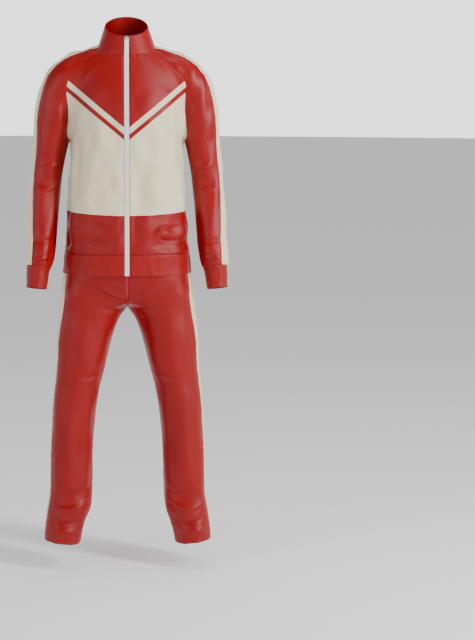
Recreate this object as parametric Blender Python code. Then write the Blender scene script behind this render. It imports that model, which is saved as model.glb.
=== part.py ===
"""A zip-up tracksuit jacket with raglan sleeves and its straight trousers, filled out as if worn.

Metres, +Z up, front towards -Y, so +X is the wearer's left. The origin is the middle of the neck,
level with the top of the shoulders, where the wearer holds the suit up.
"""

import math

import bmesh
import bpy
import numpy as np
from mathutils import Vector

# Cloth walls and the seams between them
CLOTH_WALL = 0.0016
BAND_WALL = 0.0024
SEAM_GAP = 0.0002

# Zip along the centre front
ZIP_HALF_WIDTH = 0.0070
ZIP_SPLIT = 0.0002
ZIP_WALL = 0.0018

# Slider, its bridge and the pull tab: widths are across, heights out of the cloth, lengths down it
SLIDER_HALF_WIDTH = 0.0052
SLIDER_LENGTH = 0.0135
SLIDER_PLATE = 0.0011
SLIDER_CORNER = 0.0022
SLIDER_NECK_LENGTH = 0.0030
SLIDER_NECK_HALF_WIDTH = 0.0022
SLIDER_CLEARANCE = 0.0005
BRIDGE_HALF_WIDTH = 0.0011
BRIDGE_START = 0.0036
BRIDGE_LENGTH = 0.0078
BRIDGE_HEIGHT = 0.0054
BRIDGE_BAR = 0.0011
BRIDGE_ROOT = 0.0006
PULL_AXIS_HEIGHT = 0.00215
PULL_AXIS_GAP = 0.0013
PULL_LENGTH = 0.0395
PULL_HALF_WIDTH = 0.0050
PULL_CORNER = 0.0030
PULL_WALL = 0.0013
PULL_RIM_HALF = 0.00045
PULL_BAR_RADIUS = 0.00085
PULL_BAR_HALF_LENGTH = 0.0026
EYE_HALF_WIDTH = 0.0021
EYE_BELOW_AXIS = 0.0052
EYE_CORNER = 0.0006
PULL_LEAN = math.radians(4.5)
CORNER_STEPS = 5
BAR_SIDES = 16

# Levels of the main seams
HEM_SEAM = -0.601
JACKET_HEM = -0.662
WAIST_TOP = -0.468
WAIST_SEAM = -0.506
CROTCH_CENTRE = -0.680
CROTCH_LEVEL = -0.752
TROUSER_HEM = -1.487

# Neck seam and collar edge: height at the side, how much lower in front and higher behind
NECK_SEAM_LEVEL, NECK_SEAM_TILT = 0.0095, 0.0270
COLLAR_LEVEL, COLLAR_TILT = 0.0675, 0.0285
COLLAR_HALF_WIDTH = 0.0640
COLLAR_HALF_DEPTH = 0.0650
COLLAR_FORWARD = 0.0090

# Angles round the neck, from the centre front, in degrees
NECK_RAGLAN_FRONT = 62.0
NECK_STRIPE_FRONT = 82.0
NECK_STRIPE_BACK = 104.0
NECK_RAGLAN_BACK = 122.0

# How softly the arms join the chest and the legs join the hips
ARMPIT_BLEND = 0.020
SHOULDER_BLEND = 0.046
CROTCH_BLEND = 0.030
SLEEVE_DEPTH = 1.10

# Leg rows turn square to the leg from this level down, by this drop for each metre across
TURN_LEVEL = -1.25
TURN_DROP = 0.11

# Between these levels the join of arm and body widens from the armpit's to the shoulder's
ARMPIT_LEVEL = -0.27
SHOULDER_LEVEL = -0.14

# How rounded the ovals of body, hips and legs are: 2 is an ellipse
OVAL_POWER = 2.3

# Accuracy of the search for the cloth's surface, and the angle past which an edge is sharp
SLOPE_STEP = 2e-4
LONGEST_MOVE = 0.05
RAY_SHARE = 0.75
ROW_STEP = 0.05
MERGE_DISTANCE = 1e-5
SHARP_ANGLE = math.radians(50.0)
TINY = 1e-7


class Table:
    """Rows of named columns, read as a smooth curve through the rows' first column."""

    def __init__(self, columns, rows):
        self.names = columns.split()
        values = np.array(sorted(rows), float)
        self.knots = values[:, 0]
        self.columns = values.T
        self.bends = {name: self._bend(values[:, i]) for i, name in enumerate(self.names)}

    def _bend(self, heights):
        """Second derivatives of the natural cubic through the rows."""
        gaps = np.diff(self.knots)
        slopes = np.diff(heights) / gaps
        count = len(self.knots)
        system = np.eye(count)
        right = np.zeros(count)
        for i in range(1, count - 1):
            system[i, i - 1 : i + 2] = gaps[i - 1], 2 * (gaps[i - 1] + gaps[i]), gaps[i]
            right[i] = 6 * (slopes[i] - slopes[i - 1])
        return np.linalg.solve(system, right)

    def at(self, name, where):
        """The column's value at each place in where, held level past the first and last rows."""
        column = self.columns[self.names.index(name)]
        bend = self.bends[name]
        where = np.clip(where, self.knots[0], self.knots[-1])
        i = np.clip(np.searchsorted(self.knots, where) - 1, 0, len(self.knots) - 2)
        gap = self.knots[i + 1] - self.knots[i]
        up = (where - self.knots[i]) / gap
        down = 1 - up
        sag = ((down**3 - down) * bend[i] + (up**3 - up) * bend[i + 1]) * gap**2 / 6
        return down * column[i] + up * column[i + 1] + sag


# Jacket body: half width, and how far the front and the back stand from the middle
BODY = Table(
    "level half_width front back",
    [
        (0.050, 0.072, 0.060, 0.066),
        (0.012, 0.083, 0.078, 0.076),
        (-0.020, 0.096, 0.085, 0.089),
        (-0.050, 0.118, 0.095, 0.103),
        (-0.085, 0.142, 0.108, 0.116),
        (-0.120, 0.158, 0.118, 0.124),
        (-0.160, 0.165, 0.127, 0.129),
        (-0.220, 0.164, 0.132, 0.127),
        (-0.280, 0.163, 0.131, 0.119),
        (-0.350, 0.170, 0.128, 0.109),
        (-0.420, 0.175, 0.126, 0.106),
        (-0.480, 0.177, 0.127, 0.111),
        (-0.530, 0.182, 0.130, 0.120),
        (-0.575, 0.183, 0.131, 0.131),
        (-0.601, 0.188, 0.130, 0.137),
        (-0.630, 0.190, 0.127, 0.140),
        (-0.662, 0.1945, 0.126, 0.143),
    ],
)

# One arm, from the neck to past the wrist: the middle of the sleeve, its radius, and the angles
# round it, from the outer side towards the front or the back, of the two edges of its stripe
ARM = Table(
    "row x y z radius stripe_front stripe_back",
    [
        (0, 0.060, 0.004, -0.050, 0.053, 22, 24),
        (1, 0.106, 0.005, -0.057, 0.058, 26, 26),
        (2, 0.152, 0.006, -0.073, 0.062, 30, 26),
        (3, 0.187, 0.008, -0.104, 0.063, 34, 28),
        (4, 0.208, 0.009, -0.155, 0.060, 37, 32),
        (5, 0.220, 0.010, -0.215, 0.0575, 39, 36),
        (6, 0.229, 0.011, -0.290, 0.0510, 41, 40),
        (7, 0.238, 0.011, -0.350, 0.0490, 44, 44),
        (8, 0.2465, 0.006, -0.430, 0.0480, 48, 48),
        (9, 0.2525, -0.010, -0.520, 0.0460, 54, 50),
        (10, 0.2580, -0.026, -0.600, 0.0445, 60, 52),
        (10.6, 0.2630, -0.034, -0.631, 0.0410, 62, 52),
        (11, 0.265, -0.037, -0.644, 0.0348, 62, 52),
        (11.4, 0.266, -0.039, -0.654, 0.0340, 62, 52),
        (13, 0.270, -0.050, -0.706, 0.0315, 52, 52),
        (13.6, 0.272, -0.053, -0.724, 0.0315, 52, 52),
    ],
)

# Angles of the raglan seams round the sleeve, down to where they meet under the arm
RAGLAN = Table(
    "row front back",
    [(0, 60, 60), (1, 72, 72), (2, 88, 86), (3, 104, 102), (4, 121, 123), (5, 138, 144), (5.4, 149, 156),
     (5.66, 162, 166)],
)
UNDERARM_ROW = 5.66

# Hips of the trousers, which end in the crotch
HIPS = Table(
    "level half_width front back",
    [
        (-0.440, 0.152, 0.103, 0.096),
        (-0.468, 0.153, 0.104, 0.098),
        (-0.506, 0.156, 0.107, 0.103),
        (-0.560, 0.162, 0.112, 0.114),
        (-0.620, 0.168, 0.116, 0.127),
        (-0.662, 0.171, 0.116, 0.131),
        (-0.700, 0.170, 0.108, 0.124),
        (-0.760, 0.150, 0.080, 0.092),
    ],
)

# One trouser leg: its middle, its half width, its front and back, and the stripe's two edges
LEG = Table(
    "level x y half_width front back stripe_front stripe_back",
    [
        (-0.440, 0.072, 0.000, 0.078, 0.086, 0.080, 36, 22),
        (-0.560, 0.084, 0.002, 0.084, 0.097, 0.093, 24, 22),
        (-0.630, 0.092, 0.004, 0.0895, 0.100, 0.102, 24, 22),
        (-0.662, 0.094, 0.003, 0.0925, 0.1004, 0.103, 25, 22),
        (-0.700, 0.0970, 0.007, 0.0990, 0.108, 0.114, 31, 22),
        (-0.730, 0.0995, 0.009, 0.1020, 0.108, 0.116, 35, 22),
        (-0.765, 0.1062, 0.010, 0.1000, 0.103, 0.110, 36, 22),
        (-0.786, 0.1120, 0.009, 0.0958, 0.100, 0.105, 35, 22),
        (-0.858, 0.1305, 0.006, 0.0858, 0.094, 0.092, 33, 22),
        (-0.930, 0.1395, 0.002, 0.0770, 0.087, 0.085, 30, 23),
        (-1.002, 0.1510, 0.000, 0.0710, 0.081, 0.078, 26, 24),
        (-1.074, 0.1615, 0.000, 0.0670, 0.077, 0.075, 24, 25),
        (-1.122, 0.1655, 0.002, 0.0655, 0.075, 0.076, 24, 26),
        (-1.218, 0.1720, 0.010, 0.0650, 0.074, 0.079, 25, 27),
        (-1.314, 0.1740, 0.016, 0.0660, 0.075, 0.080, 28, 28),
        (-1.386, 0.1815, 0.018, 0.0665, 0.078, 0.081, 31, 28),
        (-1.434, 0.1930, 0.016, 0.0620, 0.082, 0.082, 31, 28),
        (-1.487, 0.2010, 0.014, 0.0575, 0.086, 0.084, 32, 28),
    ],
)

SLEEVE_LINE_STEPS = 40
SLEEVE_ROWS = np.linspace(ARM.knots[0], ARM.knots[-1], SLEEVE_LINE_STEPS + 1)
SLEEVE_LINE = np.stack([ARM.at(name, SLEEVE_ROWS) for name in ("x", "y", "z")], axis=1)
SLEEVE_RADII = ARM.at("radius", SLEEVE_ROWS)


def outside_oval(across, depth, half_width, half_depth):
    """How far each point lies outside a rounded oval, along the ray from the oval's middle."""
    across = across + TINY
    sum_of_powers = np.abs(across / half_width) ** OVAL_POWER + np.abs(depth / half_depth) ** OVAL_POWER
    scale = sum_of_powers ** (1 / OVAL_POWER)
    return np.hypot(across, depth) * (1 - 1 / scale)


def outside_body(points):
    """Distance outside the jacket's body."""
    level = points[:, 2]
    depth = np.where(points[:, 1] < 0, BODY.at("front", level), BODY.at("back", level))
    return outside_oval(points[:, 0], points[:, 1], BODY.at("half_width", level), depth)


def outside_sleeve(points):
    """Distance outside the sleeve on the point's own side."""
    flat = np.array([1, 1 / SLEEVE_DEPTH, 1])
    places = points * flat
    places[:, 0] = np.abs(places[:, 0])
    starts = SLEEVE_LINE[:-1] * flat
    runs = SLEEVE_LINE[1:] * flat - starts
    offsets = places[:, None, :] - starts[None, :, :]
    along = np.einsum("ijk,jk->ij", offsets, runs) / np.einsum("jk,jk->j", runs, runs)
    along = np.clip(along, 0, 1)
    away = np.linalg.norm(offsets - along[:, :, None] * runs[None, :, :], axis=2)
    radii = SLEEVE_RADII[:-1] + along * np.diff(SLEEVE_RADII)
    return np.min(away - radii, axis=1)


def outside_leg(points, side):
    """Distance outside the trouser leg on that side, +1 or -1."""
    level = points[:, 2]
    across = side * points[:, 0] - LEG.at("x", level)
    depth = points[:, 1] - LEG.at("y", level)
    half_depth = np.where(depth < 0, LEG.at("front", level), LEG.at("back", level))
    return outside_oval(across, depth, LEG.at("half_width", level), half_depth)


def outside_hips(points):
    """Distance outside the hips of the trousers."""
    level = points[:, 2]
    depth = np.where(points[:, 1] < 0, HIPS.at("front", level), HIPS.at("back", level))
    around = outside_oval(points[:, 0], points[:, 1], HIPS.at("half_width", level), depth)
    return -soft_union(-around, level - CROTCH_LEVEL, CROTCH_BLEND)


def soft_union(first, second, blend):
    """The lesser of two distances, rounded where they are within blend of each other."""
    near = np.clip(1 - np.abs(first - second) / blend, 0, 1)
    return np.minimum(first, second) - near**2 * blend / 4


def outside_jacket(points):
    """Distance outside the jacket, arms and body together."""
    rise = np.clip((points[:, 2] - ARMPIT_LEVEL) / (SHOULDER_LEVEL - ARMPIT_LEVEL), 0, 1)
    blend = ARMPIT_BLEND + (SHOULDER_BLEND - ARMPIT_BLEND) * rise * rise * (3 - 2 * rise)
    return soft_union(outside_body(points), outside_sleeve(points), blend)


def outside_trousers(points):
    """Distance outside the trousers, hips and both legs together."""
    legs = soft_union(outside_leg(points, 1), outside_leg(points, -1), CROTCH_BLEND)
    return soft_union(outside_hips(points), legs, CROTCH_BLEND)


def outward(points, field):
    """The cloth's outward direction at each point."""
    slope = np.empty_like(points)
    for axis in range(3):
        shift = np.zeros(3)
        shift[axis] = SLOPE_STEP
        slope[:, axis] = (field(points + shift) - field(points - shift)) / (2 * SLOPE_STEP)
    return slope


def settle(points, field, rounds=6):
    """Moves each point the short way onto the cloth's surface."""
    for _ in range(rounds):
        slope = outward(points, field)
        share = field(points) / (np.sum(slope * slope, axis=1) + TINY)
        points = points - np.clip(share, -LONGEST_MOVE, LONGEST_MOVE)[:, None] * slope
    return points


def cast(starts, directions, field, rounds=70):
    """The first point of the surface along each ray that starts inside the cloth."""
    starts = np.broadcast_to(starts, directions.shape)
    reach = np.zeros(len(directions))
    for _ in range(rounds):
        reach = np.maximum(reach - RAY_SHARE * field(starts + reach[:, None] * directions), 0)
    return starts + reach[:, None] * directions


# Large folds, on the front (face -1) or the back (+1): a start, a point that the fold bends
# towards and an end, as x and level, then its half width and its height, negative for a trough.
# The paired ones are on both sides of the suit, the single ones where they stand.
JACKET_PAIRED = [
    (-1, 0.176, -0.110, 0.172, -0.190, 0.168, -0.260, 0.014, -0.0030),
    (-1, 0.192, -0.372, 0.232, -0.404, 0.268, -0.378, 0.014, -0.0035),
    (1, 0.196, -0.360, 0.240, -0.390, 0.272, -0.366, 0.014, -0.0030),
    (-1, 0.215, -0.586, 0.262, -0.606, 0.300, -0.590, 0.013, 0.0030),
    (1, 0.220, -0.580, 0.262, -0.600, 0.300, -0.586, 0.013, 0.0030),
]
JACKET_SINGLE = [
    (-1, 0.084, -0.225, 0.122, -0.400, 0.171, -0.500, 0.014, 0.0035),
    (-1, 0.072, -0.530, 0.130, -0.552, 0.186, -0.530, 0.013, 0.0050),
    (-1, 0.066, -0.566, 0.128, -0.582, 0.188, -0.567, 0.012, -0.0045),
    (-1, -0.055, -0.528, -0.120, -0.542, -0.186, -0.522, 0.013, 0.0045),
    (-1, -0.050, -0.562, -0.122, -0.580, -0.184, -0.568, 0.012, -0.0045),
    (1, 0.178, -0.490, 0.000, -0.596, -0.175, -0.488, 0.015, 0.0055),
    (1, 0.180, -0.532, 0.000, -0.622, -0.178, -0.532, 0.013, -0.0045),
]
TROUSER_PAIRED = [
    (-1, 0.004, -0.745, 0.070, -0.735, 0.140, -0.705, 0.015, -0.0045),
    (-1, 0.018, -0.800, 0.090, -0.812, 0.160, -0.780, 0.016, -0.0030),
    (1, 0.030, -0.790, 0.090, -0.826, 0.180, -0.800, 0.016, -0.0040),
    (-1, 0.072, -0.990, 0.130, -1.036, 0.195, -1.000, 0.016, -0.0050),
    (1, 0.080, -1.010, 0.150, -1.020, 0.215, -1.070, 0.015, -0.0060),
    (1, 0.090, -1.080, 0.150, -1.070, 0.220, -1.110, 0.014, 0.0040),
    (-1, 0.104, -1.330, 0.170, -1.375, 0.232, -1.335, 0.014, -0.0060),
    (-1, 0.110, -1.385, 0.178, -1.425, 0.238, -1.388, 0.014, 0.0045),
    (1, 0.106, -1.350, 0.176, -1.385, 0.236, -1.350, 0.015, -0.0050),
    (1, 0.120, -1.400, 0.182, -1.430, 0.240, -1.405, 0.014, 0.0040),
]
FOLD_STEPS = 14
FOLD_END = 0.06
FOLD_FADE = 0.6
FACING_START = -0.25
FACING_SPAN = 0.6
HEM_HOLD = 0.020
BODY_REACH = 0.198


def both_sides(folds):
    """The folds and their mirror images across the suit's middle."""
    mirror = np.array([1, -1, 1, -1, 1, -1, 1, 1, 1])
    return folds + [tuple(mirror * fold) for fold in folds]


FOLDS = {
    outside_jacket: JACKET_SINGLE + both_sides(JACKET_PAIRED),
    outside_trousers: both_sides(TROUSER_PAIRED),
}


def fold_height(points, normals, folds):
    """How far the folds lift the cloth at each point, which is not at all beside the hem band's seam."""
    height = np.zeros(len(points))
    flat = points[:, (0, 2)]
    share = np.linspace(0, 1, FOLD_STEPS + 1)[:, None]
    for face, x0, z0, x1, z1, x2, z2, width, rise in folds:
        ends = np.array([(x0, z0), (x1, z1), (x2, z2)])
        line = (1 - share) ** 2 * ends[0] + 2 * share * (1 - share) * ends[1] + share**2 * ends[2]
        offsets = flat[:, None, :] - line[None, :-1, :]
        runs = np.diff(line, axis=0)
        along = np.clip(np.einsum("ijk,jk->ij", offsets, runs) / np.einsum("jk,jk->j", runs, runs), 0, 1)
        away = np.linalg.norm(offsets - along[:, :, None] * runs[None, :, :], axis=2)
        closest = np.argmin(away, axis=1)
        picked = np.arange(len(closest))
        place = (closest + along[picked, closest]) / FOLD_STEPS
        fade = np.sin(np.pi * np.clip(place, FOLD_END, 1 - FOLD_END)) ** FOLD_FADE
        facing = np.clip((normals[:, 1] * face - FACING_START) / FACING_SPAN, 0, 1)
        height += rise * fade * facing * np.exp(-((away[picked, closest] / width) ** 2))
    on_body = np.abs(points[:, 0]) < BODY_REACH
    held = np.clip((points[:, 2] - HEM_SEAM) / HEM_HOLD, 0, 1)
    return np.where(on_body & (points[:, 2] > JACKET_HEM), height * held, height)


def folded(grid, field):
    """The grid with its garment's folds raised on it."""
    normals = field_normals(grid, field)
    height = fold_height(grid.reshape(-1, 3), normals.reshape(-1, 3), FOLDS[field])
    return grid + height.reshape(grid.shape[:2])[:, :, None] * normals


def mirrored(grid):
    """The same grid of points on the wearer's other side."""
    return grid * np.array([-1, 1, 1])


def spread(start, end, count):
    """count + 1 evenly spaced values."""
    return np.linspace(start, end, count + 1)


def neck_level(angle):
    """Height of the neck seam at an angle from the centre front, lowest there and highest behind."""
    return NECK_SEAM_LEVEL - NECK_SEAM_TILT * np.cos(angle)


def neck_ring(degrees):
    """Points of the neck seam at these angles, on the +X side."""
    angle = np.radians(degrees)
    starts = np.stack([np.zeros_like(angle), np.zeros_like(angle), neck_level(angle)], axis=1)
    directions = np.stack([np.sin(angle), -np.cos(angle), np.zeros_like(angle)], axis=1)
    return cast(starts, directions, outside_body)


def sleeve_ring(row, degrees):
    """Points round the sleeve at one row of its table: 0 degrees is the outer side, plus the front."""
    middle = np.array([ARM.at(name, row) for name in ("x", "y", "z")])
    ahead = np.array([ARM.at(name, row + ROW_STEP) for name in ("x", "y", "z")])
    behind = np.array([ARM.at(name, row - ROW_STEP) for name in ("x", "y", "z")])
    run = (ahead - behind) / np.linalg.norm(ahead - behind)
    outer = np.array([-run[2], 0, run[0]])
    outer /= np.linalg.norm(outer)
    front = np.cross(run, outer)
    angle = np.radians(degrees)
    directions = np.cos(angle)[:, None] * outer + np.sin(angle)[:, None] * front
    return cast(middle, directions, outside_jacket)


def sleeve_angles(row, front_count, stripe_count, back_count):
    """Angles across the front, the stripe and the back of the sleeve at a row, seam to seam."""
    closed = row >= UNDERARM_ROW
    seam_front = 180.0 if closed else RAGLAN.at("front", row)
    seam_back = 180.0 if closed else RAGLAN.at("back", row)
    stripe_front, stripe_back = ARM.at("stripe_front", row), -ARM.at("stripe_back", row)
    return (
        spread(seam_front, stripe_front, front_count),
        spread(stripe_front, stripe_back, stripe_count),
        spread(stripe_back, -seam_back, back_count),
    )


SHOULDER_ROW = 2.0
FRONT_COLUMNS, STRIPE_COLUMNS, BACK_COLUMNS = 6, 2, 6
CHEST_COLUMNS, HALF_BACK_COLUMNS = 9, 8
YOKE_STEPS = 4
RAGLAN_ROWS = [2.0, 2.5, 3.0, 3.5, 4.0, 4.4, 4.8, 5.1, 5.4, UNDERARM_ROW]
ARM_ROWS = [6.0, 6.4, 6.8, 7.2, 7.6, 8.0, 8.4, 8.8, 9.2, 9.6, 10.0, 10.3, 10.6, 10.8, 11.0]
CUFF_ROWS = [11.0, 11.2, 11.6, 12.3, 13.0]
SIDE_LEVELS = [-0.305, -0.335, -0.370, -0.405, -0.440, -0.465, -0.485, -0.502, -0.516,
               -0.530, -0.544, -0.558, -0.572, -0.586, HEM_SEAM]
BAND_LEVELS = [HEM_SEAM, -0.612, -0.637, JACKET_HEM]
COLLAR_SHARES = [0.0, 0.3, 0.65, 1.0]
COLLAR_COLUMNS = 14
NECK_REACH = 0.085
INSIDE_X = 0.10


def sleeve_pieces():
    """Base grids of the +X sleeve's front, stripe and back, each with a row for each section."""
    counts = (FRONT_COLUMNS, STRIPE_COLUMNS, BACK_COLUMNS)
    neck = (
        spread(NECK_RAGLAN_FRONT, NECK_STRIPE_FRONT, counts[0]),
        spread(NECK_STRIPE_FRONT, NECK_STRIPE_BACK, counts[1]),
        spread(NECK_STRIPE_BACK, NECK_RAGLAN_BACK, counts[2]),
    )
    pieces = []
    for part in range(3):
        top = neck_ring(neck[part])
        shoulder = sleeve_ring(SHOULDER_ROW, sleeve_angles(SHOULDER_ROW, *counts)[part])
        rows = [top]
        for share in spread(0, 1, YOKE_STEPS)[1:-1]:
            rows.append(settle((1 - share) * top + share * shoulder, outside_jacket))
        for row in RAGLAN_ROWS + ARM_ROWS:
            rows.append(sleeve_ring(row, sleeve_angles(row, *counts)[part]))
        pieces.append(np.array(rows))
    return pieces


def cuff_rows():
    """Base grid of the +X cuff, closed round the wrist."""
    counts = (FRONT_COLUMNS, STRIPE_COLUMNS, BACK_COLUMNS)
    rows = []
    for row in CUFF_ROWS:
        front, stripe, back = sleeve_angles(row, *counts)
        rows.append(sleeve_ring(row, np.concatenate([front, stripe[1:], back[1:]])))
    return np.array(rows)


def sweep(start, end, count, middle, field):
    """A row of points from start to end, turning about an upright line through middle(level)."""
    share = spread(0, 1, count)
    level = start[2] + (end[2] - start[2]) * share
    ends = []
    for point in (start, end):
        x, y = middle(point[2])
        ends.append((math.atan2(point[0] - x, -(point[1] - y)), math.hypot(point[0] - x, point[1] - y)))
    (first, first_reach), (last, last_reach) = ends
    if abs(last - first) > math.pi:
        first += math.copysign(2 * math.pi, last - first)
    angle = first + (last - first) * share
    reach = first_reach + (last_reach - first_reach) * share
    centres = np.array([middle(z) for z in level])
    row = np.stack(
        [centres[:, 0] + reach * np.sin(angle), centres[:, 1] - reach * np.cos(angle), level], axis=1
    )
    row = settle(row, field)
    row[0], row[-1] = start, end
    return row


def body_middle(level):
    """The middle of the jacket's body."""
    return 0.0, 0.0


def side_seam(level):
    """A point of the jacket's side seam below the arm."""
    return cast(np.array([INSIDE_X, 0.0, level]), np.array([[1.0, 0.0, 0.0]]), outside_jacket)[0]


def centre_point(level, x, depth, field):
    """The point straight in front (depth -1) or behind (depth +1) at this level and x."""
    return cast(np.array([x, 0.0, level]), np.array([[0.0, depth, 0.0]]), field)[0]


def body_piece(raglan, neck_angles, depth, x, count):
    """Base grid from the centre front (depth -1) or back (+1) to the raglan and side seams."""
    top = neck_ring(neck_angles)
    drop = centre_neck_level(depth) - raglan[0][2]
    under = raglan[-1][2]
    rows = [top]
    for point in raglan[1:]:
        fade = max(0.0, (point[2] - under) / (raglan[0][2] - under))
        start = centre_point(point[2] + drop * fade, x, depth, outside_jacket)
        rows.append(sweep(start, point, count, body_middle, outside_jacket))
    for level in SIDE_LEVELS:
        start = centre_point(level, x, depth, outside_jacket)
        rows.append(sweep(start, side_seam(level), count, body_middle, outside_jacket))
    return np.array(rows)


def centre_neck_level(depth):
    """Height of the neck seam at the centre front (depth -1) or back (+1)."""
    return neck_level(0.0) if depth < 0 else neck_level(math.pi)


def trouser_middle(level):
    """The middle of the +X trouser leg."""
    return float(LEG.at("x", level)), float(LEG.at("y", level))


SEAT_LEVELS = [WAIST_SEAM, -0.545, -0.580, -0.615, -0.650, CROTCH_CENTRE]
CROTCH_FAN = [12, 27, 45, 64, 90]
LEG_LEVELS = [-0.800, -0.830, -0.870, -0.915, -0.960, -1.000, -1.035, -1.070, -1.105, -1.140,
              -1.180, -1.225, -1.270, -1.312, -1.345, -1.372, -1.396, -1.418, -1.440, -1.461,
              TROUSER_HEM]
LEG_COLUMNS, LEG_STRIPE_COLUMNS = 6, 2


def crotch_seam(depth):
    """The centre seam from the waist down and under to the crotch, in front (-1) or behind (+1)."""
    points = [centre_point(level, 0.0, depth, outside_trousers) for level in SEAT_LEVELS]
    angles = np.radians(CROTCH_FAN)
    directions = np.stack([np.zeros_like(angles), depth * np.cos(angles), -np.sin(angles)], axis=1)
    start = np.array([0.0, 0.0, CROTCH_CENTRE])
    return np.concatenate([points, cast(start, directions, outside_trousers)])


def leg_point(level, degrees):
    """A point of the +X leg: 0 degrees is the outer side, plus towards the front, 180 the inseam."""
    x, y = trouser_middle(level)
    angle = math.radians(degrees)
    direction = np.array([[math.cos(angle), -math.sin(angle), 0.0]])
    return cast(np.array([x, y, level]), direction, outside_trousers)[0]


def slanted(row):
    """A leg's row turned square to the leg, so that it is lower on the inner side near the hem."""
    share = np.clip((row[:, 2] - TURN_LEVEL) / (TROUSER_HEM - TURN_LEVEL), 0, 1)
    across = row[:, 0] - LEG.at("x", row[:, 2])
    lowered = row.copy()
    lowered[:, 2] += TURN_DROP * share * across
    return settle(lowered, outside_trousers) if share.max() > 0 else row


def leg_pieces():
    """Base grids of the +X leg's front, stripe and back."""
    pieces = []
    for depth, edge in ((-1, "stripe_front"), (1, "stripe_back")):
        inner = list(crotch_seam(depth)) + [leg_point(level, 180.0) for level in LEG_LEVELS]
        rows = []
        for point in inner:
            outer = leg_point(point[2], -depth * LEG.at(edge, point[2]))
            rows.append(slanted(sweep(point, outer, LEG_COLUMNS, trouser_middle, outside_trousers)))
        pieces.append(np.array(rows))
    front, back = pieces
    stripe = []
    for first, last in zip(front[:, -1], back[:, -1]):
        row = sweep(first, last, LEG_STRIPE_COLUMNS, trouser_middle, outside_trousers)
        stripe.append(row)
    return front, np.array(stripe), back


def drawn_in(grid, sides):
    """The grid with the named edges moved a seam's gap towards its middle."""
    grid = grid.copy()
    edges = {
        "top": ((0, slice(None)), (1, slice(None))),
        "bottom": ((-1, slice(None)), (-2, slice(None))),
        "first": ((slice(None), 0), (slice(None), 1)),
        "last": ((slice(None), -1), (slice(None), -2)),
    }
    for side in sides:
        border, inside = edges[side]
        inwards = grid[inside] - grid[border]
        inwards /= np.linalg.norm(inwards, axis=-1)[..., None] + TINY
        grid[border] += SEAM_GAP * inwards
    return grid


def field_normals(grid, field):
    """The cloth's outward direction at each point of a grid that lies on a field's surface."""
    slope = outward(grid.reshape(-1, 3), field)
    slope /= np.linalg.norm(slope, axis=1)[:, None] + TINY
    return slope.reshape(grid.shape)


def grid_normals(grid):
    """The directions square to a grid of points, from the way its rows and columns run."""
    across = np.gradient(grid, axis=1)
    down = np.gradient(grid, axis=0)
    square = np.cross(across, down)
    return square / (np.linalg.norm(square, axis=2)[:, :, None] + TINY)


def cloth(name, grid, normals, wall, material, closed=False):
    """A closed piece of cloth: its outer face follows the grid and its inner face lies a wall inside."""
    rows, columns = grid.shape[:2]
    outer = grid.reshape(-1, 3)
    inner = outer - wall * normals.reshape(-1, 3)
    mesh = bmesh.new()
    bmesh.ops.create_grid(mesh, x_segments=columns - 1, y_segments=rows - 1, size=1.0)
    place = mesh.verts.layers.int.new("place")
    for number, vertex in enumerate(mesh.verts):
        vertex.co = outer[number]
        vertex[place] = number
    if closed:
        bmesh.ops.remove_doubles(mesh, verts=mesh.verts, dist=MERGE_DISTANCE)
    grown = bmesh.ops.extrude_face_region(mesh, geom=mesh.faces[:], use_keep_orig=True)
    for vertex in grown["geom"]:
        if isinstance(vertex, bmesh.types.BMVert):
            vertex.co = inner[vertex[place]]
    mesh.verts.layers.int.remove(place)
    bmesh.ops.recalc_face_normals(mesh, faces=mesh.faces)
    return new_object(name, mesh, material)


def new_object(name, mesh, material, origin=(0.0, 0.0, 0.0)):
    """Links a bmesh as a smooth-shaded object with its material, turning about the origin given."""
    bmesh.ops.translate(mesh, verts=mesh.verts, vec=-Vector(origin))
    data = bpy.data.meshes.new(name)
    mesh.to_mesh(data)
    mesh.free()
    data.shade_smooth()
    data.set_sharp_from_angle(angle=SHARP_ANGLE)
    data.materials.append(material)
    thing = bpy.data.objects.new(name, data)
    thing.location = origin
    bpy.context.scene.collection.objects.link(thing)
    return thing


def rounded(half_width, start, end, corner):
    """The outline of a rounded rectangle, as (across, down) pairs, between start and end downwards."""
    outline = []
    for quarter in range(4):
        across = (half_width - corner) * (1 if quarter in (0, 3) else -1)
        down = end - corner if quarter in (0, 1) else start + corner
        for share in spread(0, 1, CORNER_STEPS):
            angle = (quarter + share) * math.pi / 2
            outline.append((across + corner * math.cos(angle), down + corner * math.sin(angle)))
    return outline


def prism(points, push):
    """A solid with the flat outline points at one end, pushed straight along push."""
    mesh = bmesh.new()
    mesh.faces.new([mesh.verts.new(point) for point in points])
    grown = bmesh.ops.extrude_face_region(mesh, geom=mesh.faces[:], use_keep_orig=True)
    fresh = [item for item in grown["geom"] if isinstance(item, bmesh.types.BMVert)]
    bmesh.ops.translate(mesh, verts=fresh, vec=Vector(push))
    bmesh.ops.recalc_face_normals(mesh, faces=mesh.faces)
    return mesh


def pierced_plate(outline, hole, push):
    """A flat plate between an outline and a hole of as many points, pushed along push."""
    mesh = bmesh.new()
    rims = [[mesh.verts.new(point) for point in loop] for loop in (outline, hole)]
    for i in range(len(outline)):
        mesh.faces.new((rims[0][i - 1], rims[0][i], rims[1][i], rims[1][i - 1]))
    grown = bmesh.ops.extrude_face_region(mesh, geom=mesh.faces[:], use_keep_orig=True)
    fresh = [item for item in grown["geom"] if isinstance(item, bmesh.types.BMVert)]
    bmesh.ops.translate(mesh, verts=fresh, vec=Vector(push))
    bmesh.ops.recalc_face_normals(mesh, faces=mesh.faces)
    return mesh


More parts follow.
